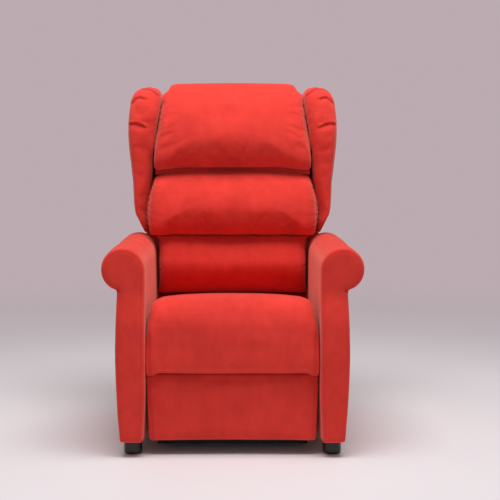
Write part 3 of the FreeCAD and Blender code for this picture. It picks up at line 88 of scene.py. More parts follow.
class Paint:
    """A material with a principled shader, and short ways to add and join its nodes."""

    def __init__(self, name):
        self.material = bpy.data.materials.new(name)
        self.material.use_nodes = True
        self.tree = self.material.node_tree
        self.shader = self.tree.nodes["Principled BSDF"]
        self.coords = self.tree.nodes.new("ShaderNodeTexCoord").outputs["Object"]

    def set(self, **values):
        for name, value in values.items():
            self.shader.inputs[name.replace("_", " ")].default_value = value

    def node(self, kind, **inputs):
        made = self.tree.nodes.new("ShaderNode" + kind)
        for name, value in inputs.items():
            self.feed(made.inputs[name.replace("_", " ")], value)
        return made

    def feed(self, socket, value):
        if isinstance(value, bpy.types.NodeSocket):
            self.tree.links.new(value, socket)
        else:
            socket.default_value = value

    def mark(self, name):
        made = self.tree.nodes.new("ShaderNodeAttribute")
        made.attribute_name = name
        return made.outputs["Fac"]

    def noise(self, scale, detail=2.0, roughness=0.5, stretch=None, distortion=0.0):
        source = self.coords
        if stretch is not None:
            source = self.node("Mapping", Vector=source, Scale=stretch).outputs["Vector"]
        made = self.node("TexNoise", Vector=source, Scale=scale, Detail=detail,
                         Roughness=roughness, Distortion=distortion)
        return made.outputs["Fac"]

    def ramp(self, source, *stops):
        made = self.node("ValToRGB", Fac=source)
        while len(made.color_ramp.elements) < len(stops):
            made.color_ramp.elements.new(0.5)
        for element, (place, colour) in zip(made.color_ramp.elements, stops):
            element.position = place
            element.color = (*colour, 1)
        return made.outputs["Color"]

    def mix(self, factor, first, second, way="MIX"):
        made = self.tree.nodes.new("ShaderNodeMix")
        made.data_type = "RGBA"
        made.blend_type = way
        self.feed(made.inputs[0], factor)
        self.feed(made.inputs[6], first)
        self.feed(made.inputs[7], second)
        return made.outputs[2]

    def bump(self, height, strength, distance, below=None):
        made = self.node("Bump", Height=height, Strength=strength, Distance=distance)
        if below is not None:
            self.feed(made.inputs["Normal"], below)
        return made.outputs["Normal"]

    def finish(self, colour=None, roughness=None, normal=None):
        for socket, value in (("Base Color", colour), ("Roughness", roughness),
                              ("Normal", normal)):
            if value is not None:
                self.feed(self.shader.inputs[socket], value)
        return self.material


def suede():
    paint = Paint("red_suede")
    clouds = paint.noise(5.5, 4.0, 0.55, distortion=0.8)
    nap = paint.noise(26.0, 3.0, 0.6, stretch=(1.0, 1.0, 0.55), distortion=0.4)
    pile = paint.noise(1300.0, 2.0, 0.6)
    base = paint.ramp(clouds, (0.30, (0.67, 0.038, 0.028)), (0.72, (0.76, 0.048, 0.035)))
    brushed = paint.ramp(nap, (0.32, (0.88, 0.84, 0.84)), (0.68, (1.0, 1.0, 1.0)))
    flecks = paint.ramp(pile, (0.30, (0.93, 0.90, 0.90)), (0.70, (1.0, 1.0, 1.0)))
    colour = paint.mix(1.0, base, brushed, "MULTIPLY")
    colour = paint.mix(1.0, colour, flecks, "MULTIPLY")
    # painted shade: the mark read here darkens the cloth towards dark red along sewn grooves,
    # creases, pleats, the wing welt and the lumbar cushion's tucked lower edge
    sewn = paint.mark("seam")
    colour = paint.mix(sewn, colour, (0.22, 0.004, 0.006, 1))
    paint.set(Sheen_Weight=0.40, Sheen_Roughness=0.50, Sheen_Tint=(1.0, 0.42, 0.33, 1),
              Specular_IOR_Level=0.12)
    soft = paint.bump(nap, 0.10, 0.002)
    normal = paint.bump(pile, 0.22, 0.0005, soft)
    return paint.finish(colour, 0.92, normal)


def coated_steel():
    paint = Paint("black_coated_steel")
    peel = paint.noise(700.0, 2.0)
    dust = paint.noise(9.0, 4.0)
    colour = paint.ramp(dust, (0.3, (0.016, 0.016, 0.017)), (0.75, (0.03, 0.03, 0.031)))
    paint.set(Metallic=0.0, Specular_IOR_Level=0.5)
    rough = paint.ramp(dust, (0.2, (0.36, 0.36, 0.36)), (0.8, (0.5, 0.5, 0.5)))
    return paint.finish(colour, rough, paint.bump(peel, 0.15, 0.0004))


def zinc():
    paint = Paint("zinc_plated_steel")
    brushed = paint.noise(300.0, 3.0, stretch=(1.0, 8.0, 8.0))
    colour = paint.ramp(brushed, (0.2, (0.52, 0.52, 0.53)), (0.8, (0.66, 0.66, 0.68)))
    paint.set(Metallic=1.0)
    rough = paint.ramp(brushed, (0.2, (0.28, 0.28, 0.28)), (0.8, (0.42, 0.42, 0.42)))
    return paint.finish(colour, rough, paint.bump(brushed, 0.08, 0.0003))


def timber():
    paint = Paint("frame_timber")
    rings = paint.noise(38.0, 4.0, stretch=(6.0, 0.35, 6.0), distortion=0.4)
    pores = paint.noise(900.0, 2.0, stretch=(4.0, 0.2, 4.0))
    base = paint.ramp(rings, (0.3, (0.46, 0.29, 0.15)), (0.5, (0.62, 0.43, 0.24)),
                      (0.72, (0.53, 0.35, 0.19)))
    streaks = paint.ramp(pores, (0.4, (0.8, 0.76, 0.7)), (0.6, (1.0, 1.0, 1.0)))
    colour = paint.mix(1.0, base, streaks, "MULTIPLY")
    return paint.finish(colour, 0.65, paint.bump(pores, 0.2, 0.0005))


def webbing():
    paint = Paint("elastic_webbing")
    wave = paint.node("TexWave", Vector=paint.coords, Scale=140.0, Distortion=0.3,
                      Detail=1.0).outputs["Fac"]
    colour = paint.ramp(wave, (0.2, (0.025, 0.025, 0.027)), (0.8, (0.09, 0.088, 0.085)))
    return paint.finish(colour, 0.85, paint.bump(wave, 0.5, 0.0008))


def moulded(name, colour, roughness, grain=500.0):
    paint = Paint(name)
    texture = paint.noise(grain, 3.0, 0.6)
    wear = paint.noise(14.0, 4.0)
    low = tuple(part * 0.85 for part in colour)
    high = tuple(part * 1.15 for part in colour)
    tone = paint.ramp(wear, (0.3, low), (0.7, high))
    shade = roughness * 0.85
    rough = paint.ramp(wear, (0.3, (shade,) * 3), (0.7, (roughness,) * 3))
    return paint.finish(tone, rough, paint.bump(texture, 0.2, 0.0005))


MATERIALS = {
    "upholstery": suede(),
    "webbing": webbing(),
    "frame_wood": timber(),
    "frame_steel": coated_steel(),
    "bright_steel": zinc(),
    "drive_plastic": moulded("drive_housing_plastic", (0.030, 0.030, 0.034), 0.55),
    "foot_plastic": moulded("foot_plastic", (0.012, 0.010, 0.011), 0.42, 260.0),
    "glide_rubber": moulded("glide_rubber", (0.022, 0.022, 0.022), 0.85),
    "control_plastic": moulded("control_plastic", (0.030, 0.030, 0.032), 0.5),
    "button_plastic": moulded("button_plastic", (0.24, 0.24, 0.25), 0.45),
}


# Meshes as tables of points

FAR = 1e9
RELAX_FACTOR = 0.5
RELAX_ROUNDS = 2


def points_of(mesh):
    flat = np.empty(len(mesh.vertices) * 3, np.float32)
    mesh.vertices.foreach_get("co", flat)
    return flat.reshape(-1, 3).astype(float)


def normals_of(mesh):
    flat = np.empty(len(mesh.vertices) * 3, np.float32)
    mesh.vertex_normals.foreach_get("vector", flat)
    return flat.reshape(-1, 3).astype(float)


def put_points(mesh, places):
    mesh.vertices.foreach_set("co", places.astype(np.float32).ravel())
    mesh.update()


def put_mark(mesh, name, values):
    mark = mesh.attributes.new(name, "FLOAT", "POINT")
    mark.data.foreach_set("value", np.clip(values, 0, 1).astype(np.float32))


def ease(value, low, high):
    share = np.clip((value - low) / (high - low), 0, 1)
    return share * share * (3 - 2 * share)


def merged(node):
    bm = bmesh.new()
    bm.from_mesh(NODES[node].data)
    bmesh.ops.remove_doubles(bm, verts=bm.verts, dist=1e-5)
    return bm


def copy_of(name, node):
    mesh = NODES[node].data.copy()
    mesh.materials.clear()
    mesh.name = name
    bm = merged(node)
    bm.to_mesh(mesh)
    bm.free()
    return new_object(name, mesh)


def apply(piece):
    graph = bpy.context.evaluated_depsgraph_get()
    mesh = bpy.data.meshes.new_from_object(piece.evaluated_get(graph))
    piece.modifiers.clear()
    piece.data = mesh


def remesh(piece, voxel):
    step = piece.modifiers.new("remesh", "REMESH")
    step.mode = "VOXEL"
    step.voxel_size = voxel
    apply(piece)


def relax(piece):
    step = piece.modifiers.new("relax", "SMOOTH")
    step.factor = RELAX_FACTOR
    step.iterations = RELAX_ROUNDS
    apply(piece)


def subdivide(piece):
    step = piece.modifiers.new("finer", "SUBSURF")
    step.levels = 1
    step.render_levels = 1
    apply(piece)


def smooth(piece):
    for polygon in piece.data.polygons:
        polygon.use_smooth = True


def fit_out(piece, body, slot_name):
    piece.data.materials.append(MATERIALS[slot_name])
    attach(piece, body)


def dress(piece, node):
    smooth(piece)
    piece.data.materials.clear()
    fit_out(piece, BODY_OF[node], SLOT_OF[node])
    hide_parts(node)


def wobble(places, length, seed):
    """A smooth uneven field from -1 to 1, with bumps about as long as length."""
    draw = np.random.default_rng(seed)
    total = np.zeros(len(places))
    for _ in range(6):
        way = draw.normal(size=3)
        way /= np.linalg.norm(way)
        pitch = 2 * pi / (length * draw.uniform(0.7, 1.6))
        total += np.sin(places @ way * pitch + draw.uniform(0, 2 * pi))
    return total / 6 ** 0.5


def rows_of(values, levels, step):
    """The number of the evenly spaced level that each value is nearest to."""
    return np.clip(((values - levels[0]) / step + 0.5).astype(int), 0, len(levels) - 1)


class Outline:
    """Half width, front and rear of a piece at each level."""

    def __init__(self, places, step=0.005):
        self.levels = np.arange(places[:, 2].min(), places[:, 2].max() + step, step)
        rows = rows_of(places[:, 2], self.levels, step)
        self.wide = np.full(len(self.levels), -FAR)
        self.near = np.full(len(self.levels), FAR)
        self.far = np.full(len(self.levels), -FAR)
        np.maximum.at(self.wide, rows, places[:, 0])
        np.minimum.at(self.near, rows, places[:, 1])
        np.maximum.at(self.far, rows, places[:, 1])

    def half(self, levels):
        return np.interp(levels, self.levels, self.wide)

    def front(self, levels):
        return np.interp(levels, self.levels, self.near)

    def rear(self, levels):
        return np.interp(levels, self.levels, self.far)


# How the filling blows a cover up: cloth under pressure, held at its rear and its seams

STEPS = 20
PRESSURE = 4.0
GRIP_WIDTH = 0.006


def hold(piece, weights):
    group = piece.vertex_groups.new(name="held")
    for index in np.nonzero(weights > 0.01)[0]:
        group.add([int(index)], float(weights[index]), "REPLACE")


def add_cloth(piece, growth):
    cloth = piece.modifiers.new("filling", "CLOTH")
    settings = cloth.settings
    settings.quality = 4
    settings.mass = 0.3
    settings.tension_stiffness = 18
    settings.compression_stiffness = 12
    settings.shear_stiffness = 6
    settings.bending_stiffness = 0.3
    settings.use_pressure = True
    settings.uniform_pressure_force = PRESSURE
    settings.shrink_min = -growth
    settings.effector_weights.gravity = 0
    settings.vertex_group_mass = "held"
    cloth.collision_settings.use_collision = False
    cloth.collision_settings.use_self_collision = False
    cloth.point_cache.frame_start = 1
    cloth.point_cache.frame_end = STEPS


def run_cloth(pieces):
    scene = bpy.context.scene
    for step in range(1, STEPS + 1):
        scene.frame_set(step)
    for piece in pieces:
        apply(piece)
    scene.frame_set(1)


class Soft:
    """One upholstered piece: a copy of its solid, its sewn lines, its filling and its folds.

    reach is how far the filling may move the cover, shares is the part of that move that is
    kept to the sides, to the front, up and down, and growth is how much larger the cloth is.
    """

    def __init__(self, node, voxel, fill, seed=0, reach=0, shares=(1, 1, 1, 1), growth=0):
        self.node = node
        self.fill = fill
        self.reach = reach
        self.shares = shares
        self.seed = seed
        self.piece = copy_of(node + "_cover", node)
        remesh(self.piece, voxel)
        relax(self.piece)
        self.start = points_of(self.piece.data)
        self.facing = normals_of(self.piece.data)
        self.lines = []
        self.held = np.zeros(len(self.start))
        self.growth = growth

    def sew(self, distance, grip=0.9):
        name = f"line_{len(self.lines)}"
        mark = self.piece.data.attributes.new(name, "FLOAT", "POINT")
        mark.data.foreach_set("value", distance.astype(np.float32))
        self.lines.append(name)
        self.pin(grip * np.exp(-(distance / GRIP_WIDTH) ** 2))

    def pin(self, weights):
        self.held = np.maximum(self.held, weights)

    def prepare(self):
        hold(self.piece, self.held)
        add_cloth(self.piece, self.growth)

    def settle(self):
        # the cover moves no further than its reach, and by its own share each way
        places = points_of(self.piece.data)
        move = places - self.start
        length = np.linalg.norm(move, axis=1) + 1e-9
        move *= np.minimum(1, self.reach / length)[:, None]
        side, front, up, down = self.shares
        move[:, 0] *= side
        move[:, 1] *= front
        move[:, 2] *= np.where(move[:, 2] > 0, up, down)
        put_points(self.piece.data, self.start + move)

    def refine(self):
        relax(self.piece)
        subdivide(self.piece)
        self.places = points_of(self.piece.data)
        self.facing = normals_of(self.piece.data)
        self.seam = np.zeros(len(self.places))
        self.sewn = []
        marks = self.piece.data.attributes
        for name in self.lines:
            distance = np.empty(len(self.places), np.float32)
            marks[name].data.foreach_get("value", distance)
            self.sewn.append(distance.astype(float))
            marks.remove(marks[name])

    def sink(self, share, depth, dark=0.0):
        self.places -= self.facing * (share * depth)[:, None]
        # dark is painted shade, laid into the mark that darkens the cloth
        self.seam = np.maximum(self.seam, share * dark)

    def fit(self, low, high, half=None):
        # the cover is pulled out to its full width and height again
        places = self.places
        if half is not None:
            places[:, 0] *= half / np.abs(places[:, 0]).max()
        bottom = places[:, 2].min()
        top = places[:, 2].max()
        places[:, 2] = low + (places[:, 2] - bottom) * (high - low) / (top - bottom)

    def groove(self, line, depth, width, dark):
        # the sewn line is sunk, and dark paints shade into its groove
        self.sink(np.exp(-(self.sewn[line] / width) ** 2), depth, dark)

    def gather(self, line, along, spots, depth, long):
        # short creases that run from a sewn line into the panel beside it, with painted shade in
        # them
        draw = np.random.default_rng(self.seed)
        across = self.sewn[line]
        total = np.zeros(len(along))
        for spot in spots:
            wide = draw.uniform(0.0032, 0.0050)
            run = long * draw.uniform(0.6, 1.3)
            slant = draw.uniform(-0.4, 0.4)
            strength = draw.uniform(0.55, 1.0)
            crease = np.exp(-((along - spot - slant * across) / wide) ** 2)
            fade = np.exp(-np.clip(across, 0, None) / run)
            fade *= np.exp(-np.clip(-across, 0, None) / 0.006)
            total += strength * crease * fade
        self.sink(np.clip(total, 0, 1.2), depth, 0.25)

    def fold(self, path, flat, depth, width, puff, dark):
        # a pleat along a path in a flat view: the cloth above it laps over the cloth below, and
        # painted shade darkens the line of the fold
        away, side = path_distance(flat, path)
        shown = np.clip(-self.facing[:, 1] * 1.6, 0, 1)
        above = np.exp(-(away / (1.6 * width)) ** 2) * (side > 0)
        below = np.exp(-(away / (0.7 * width)) ** 2) * (side > 0)
        dip = np.exp(-(away / (2.2 * width)) ** 2) * (side <= 0)
        self.places += self.facing * ((above - below) * puff * shown)[:, None]
        self.sink(dip * shown, depth)
        self.seam = np.maximum(self.seam, np.exp(-(away / (0.55 * width)) ** 2) * dark * shown)

    def finish(self):
        mesh = self.piece.data
        put_points(mesh, self.places)
        put_mark(mesh, "seam", self.seam)
        dress(self.piece, self.node)


def path_distance(flat, path):
    """Distance of each point to a path of straight runs, and on which side of it each lies."""
    away = np.full(len(flat), FAR)
    side = np.zeros(len(flat))
    for start, end in zip(path, path[1:]):
        start = np.array(start)
        run = np.array(end) - start
        offset = flat - start
        share = np.clip(offset @ run / (run @ run), 0, 1)
        gap = offset - share[:, None] * run
        near = np.linalg.norm(gap, axis=1)
        closer = near < away
        turn = run[0] * offset[:, 1] - run[1] * offset[:, 0]
        side = np.where(closer, np.sign(turn), side)
        away = np.where(closer, near, away)
    return away, side


# Back cushions: a front panel that wraps over the top, gathered to a gusset at each side

CORNER_TURN = 0.93
GUSSET_ROUND = 0.08
UNEVEN = 0.0014
# the right side is set this far up, so that one call makes the creases of both sides
APART = 5


def back_cushion(node, reach, shares, growth, seed):
    soft = Soft(node, voxel=0.006, fill=0.7, seed=seed, reach=reach, shares=shares,
                growth=growth)
    soft.sew((CORNER_TURN - np.abs(soft.facing[:, 0])) * GUSSET_ROUND, grip=0.85)
    from_rear = Outline(soft.start).rear(soft.start[:, 2]) - soft.start[:, 1]
    soft.pin(1 - ease(from_rear, 0.015, 0.05))
    return soft


def squared(across, along, power):
    """Shares of a round corner's reach each way, pushed out to a squarer corner."""
    corner = (across > 0) & (along > 0)
    length = np.sqrt(across ** 2 + along ** 2) + 1e-9
    bulge = np.abs(across / length) ** power + np.abs(along / length) ** power
    swell = np.where(corner, bulge ** (-1 / power), 1.0)
    return (corner, np.minimum(across * swell, np.maximum(across, 1.0)),
            np.minimum(along * swell, np.maximum(along, 1.0)))


def square_corners(soft, reach_side, reach_front, power=3.2, below=9.0):
    # the filling pushes the front corners of the cover out, so they are less round
    before = points_of(soft.piece.data)
    places = before.copy()
    shape = Outline(places, 0.006)
    inner = shape.half(places[:, 2]) - reach_side
    back = shape.front(places[:, 2]) + reach_front
    corner, across, ahead = squared((np.abs(places[:, 0]) - inner) / reach_side,
                                    (back - places[:, 1]) / reach_front, power)
    places[:, 0] = np.where(corner, np.sign(places[:, 0]) * (inner + across * reach_side),
                            places[:, 0])
    places[:, 1] = np.where(corner, back - ahead * reach_front, places[:, 1])
    kept = ease(before[:, 2], below - 0.06, below)[:, None]
    put_points(soft.piece.data, places + (before - places) * kept)


def square_shoulders(soft, reach_side, reach_top, power=3.0, step=0.01):
    # the same for the upper corners of the seat
    places = points_of(soft.piece.data)
    depths = np.arange(places[:, 1].min(), places[:, 1].max() + step, step)
    tops = np.full(len(depths), -FAR)
    np.maximum.at(tops, rows_of(places[:, 1], depths, step), places[:, 2])
    inner = np.abs(places[:, 0]).max() - reach_side
    base = np.interp(places[:, 1], depths, tops) - reach_top
    corner, across, above = squared((np.abs(places[:, 0]) - inner) / reach_side,
                                    (places[:, 2] - base) / reach_top, power)
    places[:, 0] = np.where(corner, np.sign(places[:, 0]) * (inner + across * reach_side),
                            places[:, 0])
    places[:, 2] = np.where(corner, base + above * reach_top, places[:, 2])
    put_points(soft.piece.data, places)


# Widths as the camera sees them, all taken at the distance of the back cushions

SIGHT = 4.06
WIDTH_ROW = 0.008
FRONT_DEPTH = 0.10
CORNER_RANGE = 0.030


def seen_half(places):
    return np.abs(places[:, 0]) * SIGHT / (places[:, 1] - EYE)


def smoothed(values, spread):
    return np.convolve(np.pad(values, spread // 2, "edge"), np.ones(spread) / spread, "valid")


def widened(places, line, spread=3):
    """The sides are filled out to the width seen from the front at each level."""
    places = places.copy()
    shape = Outline(places, WIDTH_ROW)
    seen = seen_half(places)
    ahead = places[:, 1] < shape.front(places[:, 2]) + FRONT_DEPTH
    rows = rows_of(places[:, 2], shape.levels, WIDTH_ROW)
    widest = np.full(len(shape.levels), 1e-3)
    np.maximum.at(widest, rows[ahead], seen[ahead])
    factor = np.clip(np.interp(shape.levels, *zip(*line)) / widest, 0.84, 1.16)
    # a narrow last row isn't drawn out again, or the upper corners become horns
    upper = shape.levels > line[-1][0] - CORNER_RANGE
    factor[upper] = np.minimum.accumulate(np.minimum(factor[upper], 1.0))
    stretch = np.interp(places[:, 2], shape.levels, smoothed(factor, spread))
    places[:, 0] *= 1 + (stretch - 1) * ease(np.abs(places[:, 0]), 0.12, 0.24)
    return places


def match_sides(soft, line):
    put_points(soft.piece.data, widened(points_of(soft.piece.data), line, 5))


def finish_back_cushion(soft, line, spots, low, high, rise=0.0, shoulder=0.0, crown=0.0,
                        full=0.0, tuck=0.0):
    soft.refine()
    soft.fit(low, high)
    soft.places = widened(soft.places, line)
    places = soft.places
    half = np.abs(places[:, 0]).max()
    across = np.abs(places[:, 0])
    outward = ease(across, half * 0.50, half * 0.97)
    lower = 1 - ease(places[:, 2], low, low + 0.07)
    upper = ease(places[:, 2], high - 0.05, high)
    # both edges are arched, the upper corners are rounder, and the lower lip is full
    places[:, 2] += rise * (1 - outward) * lower
    places[:, 2] -= shoulder * ease(across, half * 0.62, half * 0.95) * upper
    places[:, 2] -= crown * (across / half) ** 2 * upper
    places[:, 1] -= full * np.clip(-soft.facing[:, 1] - soft.facing[:, 2], 0, 1) * lower
    if tuck:
        # the lower edge is pulled back, into the shade behind the seat, and painted shade darkens
        # it further
        tucked = 1 - ease(places[:, 2], low + 0.01, low + 0.12)
        places[:, 1] += tuck * tucked
        soft.seam = np.maximum(soft.seam, 0.20 * tucked)
    places[:, 1] += UNEVEN * wobble(places, 0.20, soft.seed)
    soft.groove(0, depth=0.0018, width=0.0045, dark=0.25)
    left, right = spots
    height = places[:, 2] + np.where(places[:, 0] > 0, APART, 0)
    soft.gather(0, height, left + tuple(APART + spot for spot in right), depth=0.0024,
                long=0.022)
    soft.finish()


head = back_cushion("head_cushion", reach=0.022, shares=(0.35, 0.8, 0.25, 0.1), growth=0.02,
                    seed=11)
middle = back_cushion("middle_cushion", reach=0.022, shares=(0.3, 0.8, 0.2, 0.15), growth=0.03,
                      seed=12)
lumbar = back_cushion("lumbar_cushion", reach=0.020, shares=(0.1, 0.8, 0.1, 0.2), growth=0.01,
                      seed=13)

# Seat cushion with its front flap: boxed at the sides, hemmed along the lower edge

SEAM_HALF = 0.241
HEM_LEVEL = 0.268


def seat_cover():
    soft = Soft("seat_cushion", voxel=0.0065, fill=0.75, seed=14, reach=0.020,
                shares=(0.15, 0.35, 0.10, 0.0), growth=0.01)
    places = soft.start
    facing = soft.facing
    wrap = (facing[:, 1] < -0.2) | (facing[:, 2] > 0.2)
    soft.sew(np.where(wrap, SEAM_HALF - np.abs(places[:, 0]), 1.0), grip=0.8)
    front = (facing[:, 1] < -0.4) & (places[:, 1] < -0.38)
    soft.sew(np.where(front, places[:, 2] - HEM_LEVEL, 1.0), grip=0.9)
    soft.pin(1 - ease(places[:, 2], 0.262, 0.275))
    under = (facing[:, 2] < -0.4) | ((facing[:, 1] > 0.5) & (places[:, 1] < -0.3))
    soft.pin(under.astype(float))
    soft.pin(ease(places[:, 1], 0.12, 0.15))
    return soft


def finish_seat():
    seat.refine()
    seat.fit(low=0.2505, high=0.4740, half=0.2590)
    places = seat.places
    lower = 1 - ease(places[:, 2], 0.256, 0.30)
    outward = ease(np.abs(places[:, 0]), 0.218, 0.244)
    front = 1 - ease(places[:, 1], -0.385, -0.37)
    # the flap stands out towards its hem, which droops at the corners
    hem = np.exp(-((places[:, 2] - 0.2565) / 0.008) ** 2) * front
    places[:, 1] -= 0.0036 * hem + 0.009 * (1 - ease(places[:, 2], 0.25, 0.335)) * front
    places[:, 2] -= 0.008 * outward * lower * front
    places[:, 1] += UNEVEN * wobble(places, 0.20, seat.seed)
    seat.groove(0, depth=0.0020, width=0.0042, dark=0.22)
    seat.groove(1, depth=0.0008, width=0.005, dark=0.05)
    seat.finish()


seat = seat_cover()

# Footrest pad: a thin pad sewn near its edge, with two small pleats at a corner

# each pleat: its path, its depth and the painted shade along it
PAD_PLEATS = ((((0.226, 0.236), (0.240, 0.232), (0.252, 0.236)), 0.0020, 0.4),
              (((0.232, 0.226), (0.243, 0.224), (0.252, 0.228)), 0.0015, 0.3))


def footrest_cover():
    soft = Soft("footrest_pad", voxel=0.005, fill=0.4, seed=15, reach=0.008,
                shares=(0.1, 0.6, 0.3, 0.1), growth=0.008)
    places = soft.start
    front = soft.facing[:, 1] < -0.3
    inset = Outline(places).half(places[:, 2]) - np.abs(places[:, 0])
    soft.sew(np.where(front, inset - 0.011, 1.0), grip=0.9)
    soft.pin(ease(places[:, 1], -0.396, -0.390))
    return soft


def finish_footrest():
    footrest.refine()
    footrest.fit(low=0.044, high=0.2475, half=0.2578)
    places = footrest.places
    places[:, 0] *= 1 - 0.006 * (1 - ease(places[:, 2], 0.04, 0.20))
    places[:, 1] += 0.0010 * wobble(places, 0.18, footrest.seed)
    footrest.groove(0, depth=0.0014, width=0.004, dark=0.2)
    flat = places[:, [0, 2]]
    for pleat, depth, dark in PAD_PLEATS:
        footrest.fold(pleat, flat, depth, width=0.003, puff=0.001, dark=dark)
    footrest.finish()


footrest = footrest_cover()

# The back shell leans back; its front face is the plane that wings and cushions stand on

LEAN = radians(10)
SHELL_FOOT_Y = 0.28004
SHELL_FOOT_Z = 0.262
SHELL_THICK = 0.0705


def shell_front(level):
    return SHELL_FOOT_Y + (level - SHELL_FOOT_Z) * np.tan(LEAN) - SHELL_THICK / np.cos(LEAN)


def forward_of_shell(places):
    return (shell_front(places[:, 2]) - places[:, 1]) * np.cos(LEAN)


def rise_on_shell(places):
    return ((places[:, 2] - SHELL_FOOT_Z) * np.cos(LEAN)
            + (places[:, 1] - SHELL_FOOT_Y) * np.sin(LEAN))


# Wings: a round bolster in front, sewn to an outer panel, with pleats at the top corner

WING_ROW = 0.01
WING_LEVELS = np.arange(0.62, 1.14, WING_ROW)
WING_FRONT_DEPTH = 0.045
# level, and how far out the inner side is seen
WING_LINE = ((0.6310, 0.2862), (0.6555, 0.2892), (0.6800, 0.2903), (0.7040, 0.2897),
             (0.7284, 0.2873), (0.7527, 0.2839), (0.7770, 0.2790), (0.8012, 0.2736),
             (0.8255, 0.2706), (0.8720, 0.2724), (0.8845, 0.2714), (0.9115, 0.2675),
             (0.9418, 0.2619), (0.9822, 0.2532), (1.0259, 0.2473), (1.0594, 0.2435),
             (1.0896, 0.2425), (1.1072, 0.2455))
# how far out and how high they are seen
WING_PLEATS = (((0.3365, 1.0735), (0.3270, 1.0840), (0.3150, 1.0895), (0.3020, 1.0870)),
               ((0.3500, 0.9985), (0.3400, 1.0010), (0.3280, 1.0015), (0.3150, 0.9985),
                (0.3020, 0.9930)))
WING_WELT = ((0.3100, 1.1170), (0.2989, 1.1179), (0.2811, 1.1163), (0.2669, 1.1086),
             (0.2565, 1.0999), (0.2487, 1.0945))


def wing_cover(side, seed):
    soft = Soft("wing_right" if side > 0 else "wing_left", voxel=0.006, fill=0.6, seed=seed,
                reach=0.014, shares=(0.3, 0.7, 0.2, 0.1), growth=0.012)
    forward = forward_of_shell(soft.start)
    soft.sew(np.where(forward > 0.002, forward - 0.014, 1.0), grip=0.9)
    soft.sew((0.80 - soft.facing[:, 0] * side) * 0.05, grip=0.7)
    soft.pin(1 - ease(forward, 0.006, 0.02))
    return soft


def fill_wing_in(places, side):
    """The inner side comes up to the cushions, as seen from the front."""
    seen = seen_half(places)
    rows = rows_of(places[:, 2], WING_LEVELS, WING_ROW)
    count = len(WING_LEVELS)
    nearest = np.full(count, 9.0)
    np.minimum.at(nearest, rows, places[:, 1])
    ahead = places[:, 1] < nearest[rows] + WING_FRONT_DEPTH
    narrow = np.full(count, 9.0)
    wide = np.zeros(count)
    np.minimum.at(narrow, rows[ahead], seen[ahead])
    np.maximum.at(wide, rows, seen)
    wanted = np.interp(WING_LEVELS, *zip(*WING_LINE))
    shift = smoothed(np.where(narrow < 5, narrow - wanted, 0.0), 7)
    shift = np.clip(np.interp(places[:, 2], WING_LEVELS, shift), -0.010, 0.014)
    near = np.interp(places[:, 2], WING_LEVELS, np.where(narrow < 5, narrow, 0.26))
    far = np.interp(places[:, 2], WING_LEVELS, np.where(wide > 0, wide, 0.36))
    places[:, 0] -= side * shift * (1 - ease(seen, near + 0.006, far - 0.012))
    return ahead, far


def turn_wing_in(places, side, ahead, far):
    """Its front turns in towards the cushions, and its lower end tapers."""
    seen = seen_half(places)
    inner = np.interp(places[:, 2], *zip(*WING_LINE))
    turned = (1 - ease(seen, inner, inner + 0.032)) * ahead
    places[:, 1] += 0.012 * turned * (1 - ease(places[:, 2], 0.80, 0.95))
    places[:, 1] += 0.007 * ahead * (1 - ease(places[:, 2], 0.82, 1.01))
    outer = np.interp(places[:, 2], (0.626, 0.690), (0.2985, 0.3283))
    share = np.clip((outer - inner) / np.maximum(far - inner, 1e-3), 0.1, 1.0)
    share += (1 - share) * ease(places[:, 2], 0.680, 0.705)
    narrowed = (np.maximum(seen, inner) - inner) * (share - 1)
    places[:, 0] += side * narrowed * (places[:, 1] - EYE) / SIGHT


def finish_wing(side, wing):
    wing.refine()
    places = wing.places
    ahead, far = fill_wing_in(places, side)
    turn_wing_in(places, side, ahead, far)
    places[:, 1] += UNEVEN * wobble(places, 0.16, wing.seed)
    wing.groove(0, depth=0.0020, width=0.004, dark=0.35)
    view = SIGHT / (places[:, 1] - EYE)
    drawn = np.stack([places[:, 0] * side * view,
                      EYE_LEVEL + (places[:, 2] - EYE_LEVEL) * view], axis=1)
    for pleat in WING_PLEATS:
        wing.fold(pleat[::-1], drawn, depth=0.0040, width=0.0055, puff=0.0038, dark=0.22)
    # the welt under the top edge: a sunk line with strong painted shade
    away, _ = path_distance(drawn, WING_WELT)
    welt = np.exp(-(away / 0.0030) ** 2) * ease(-wing.facing[:, 1], 0.10, 0.40)
    wing.sink(welt, depth=0.0020, dark=0.7)
    wing.finish()


wings = [(1, wing_cover(1, 21)), (-1, wing_cover(-1, 22))]

# Arms: a padded roll over a side panel, with a front panel sewn in

ARM_FRONT = -0.436
ARM_REAR = 0.230
NECK_LEVEL = 0.495


def arm_cover(side, seed):
    soft = Soft("arm_right" if side > 0 else "arm_left", voxel=0.006, fill=0.6, seed=seed)
    places = soft.start
    neck = (np.abs(places[:, 0]) > 0.332) & (soft.facing[:, 0] * side > -0.5)
    soft.sew(np.where(neck, places[:, 2] - NECK_LEVEL, 1.0))
    return soft


def rim_distance(piece, end):
    """How far each point of an end face lies inside the edge of the arm's section."""
    places = piece.places
    turned = np.abs(piece.facing[:, 1])
    near = np.abs(places[:, 1] - end) < 0.03
    edge = places[near & (turned < 0.35)][:, [0, 2]]
    face = near & (turned > 0.55)
    result = np.zeros(len(places))
    index = np.nonzero(face)[0]
    for part in np.array_split(index, max(1, len(index) // 800)):
        gap = places[part][:, None, [0, 2]] - edge[None, :, :]
        result[part] = np.sqrt((gap ** 2).sum(axis=2).min(axis=1))
    return result, face


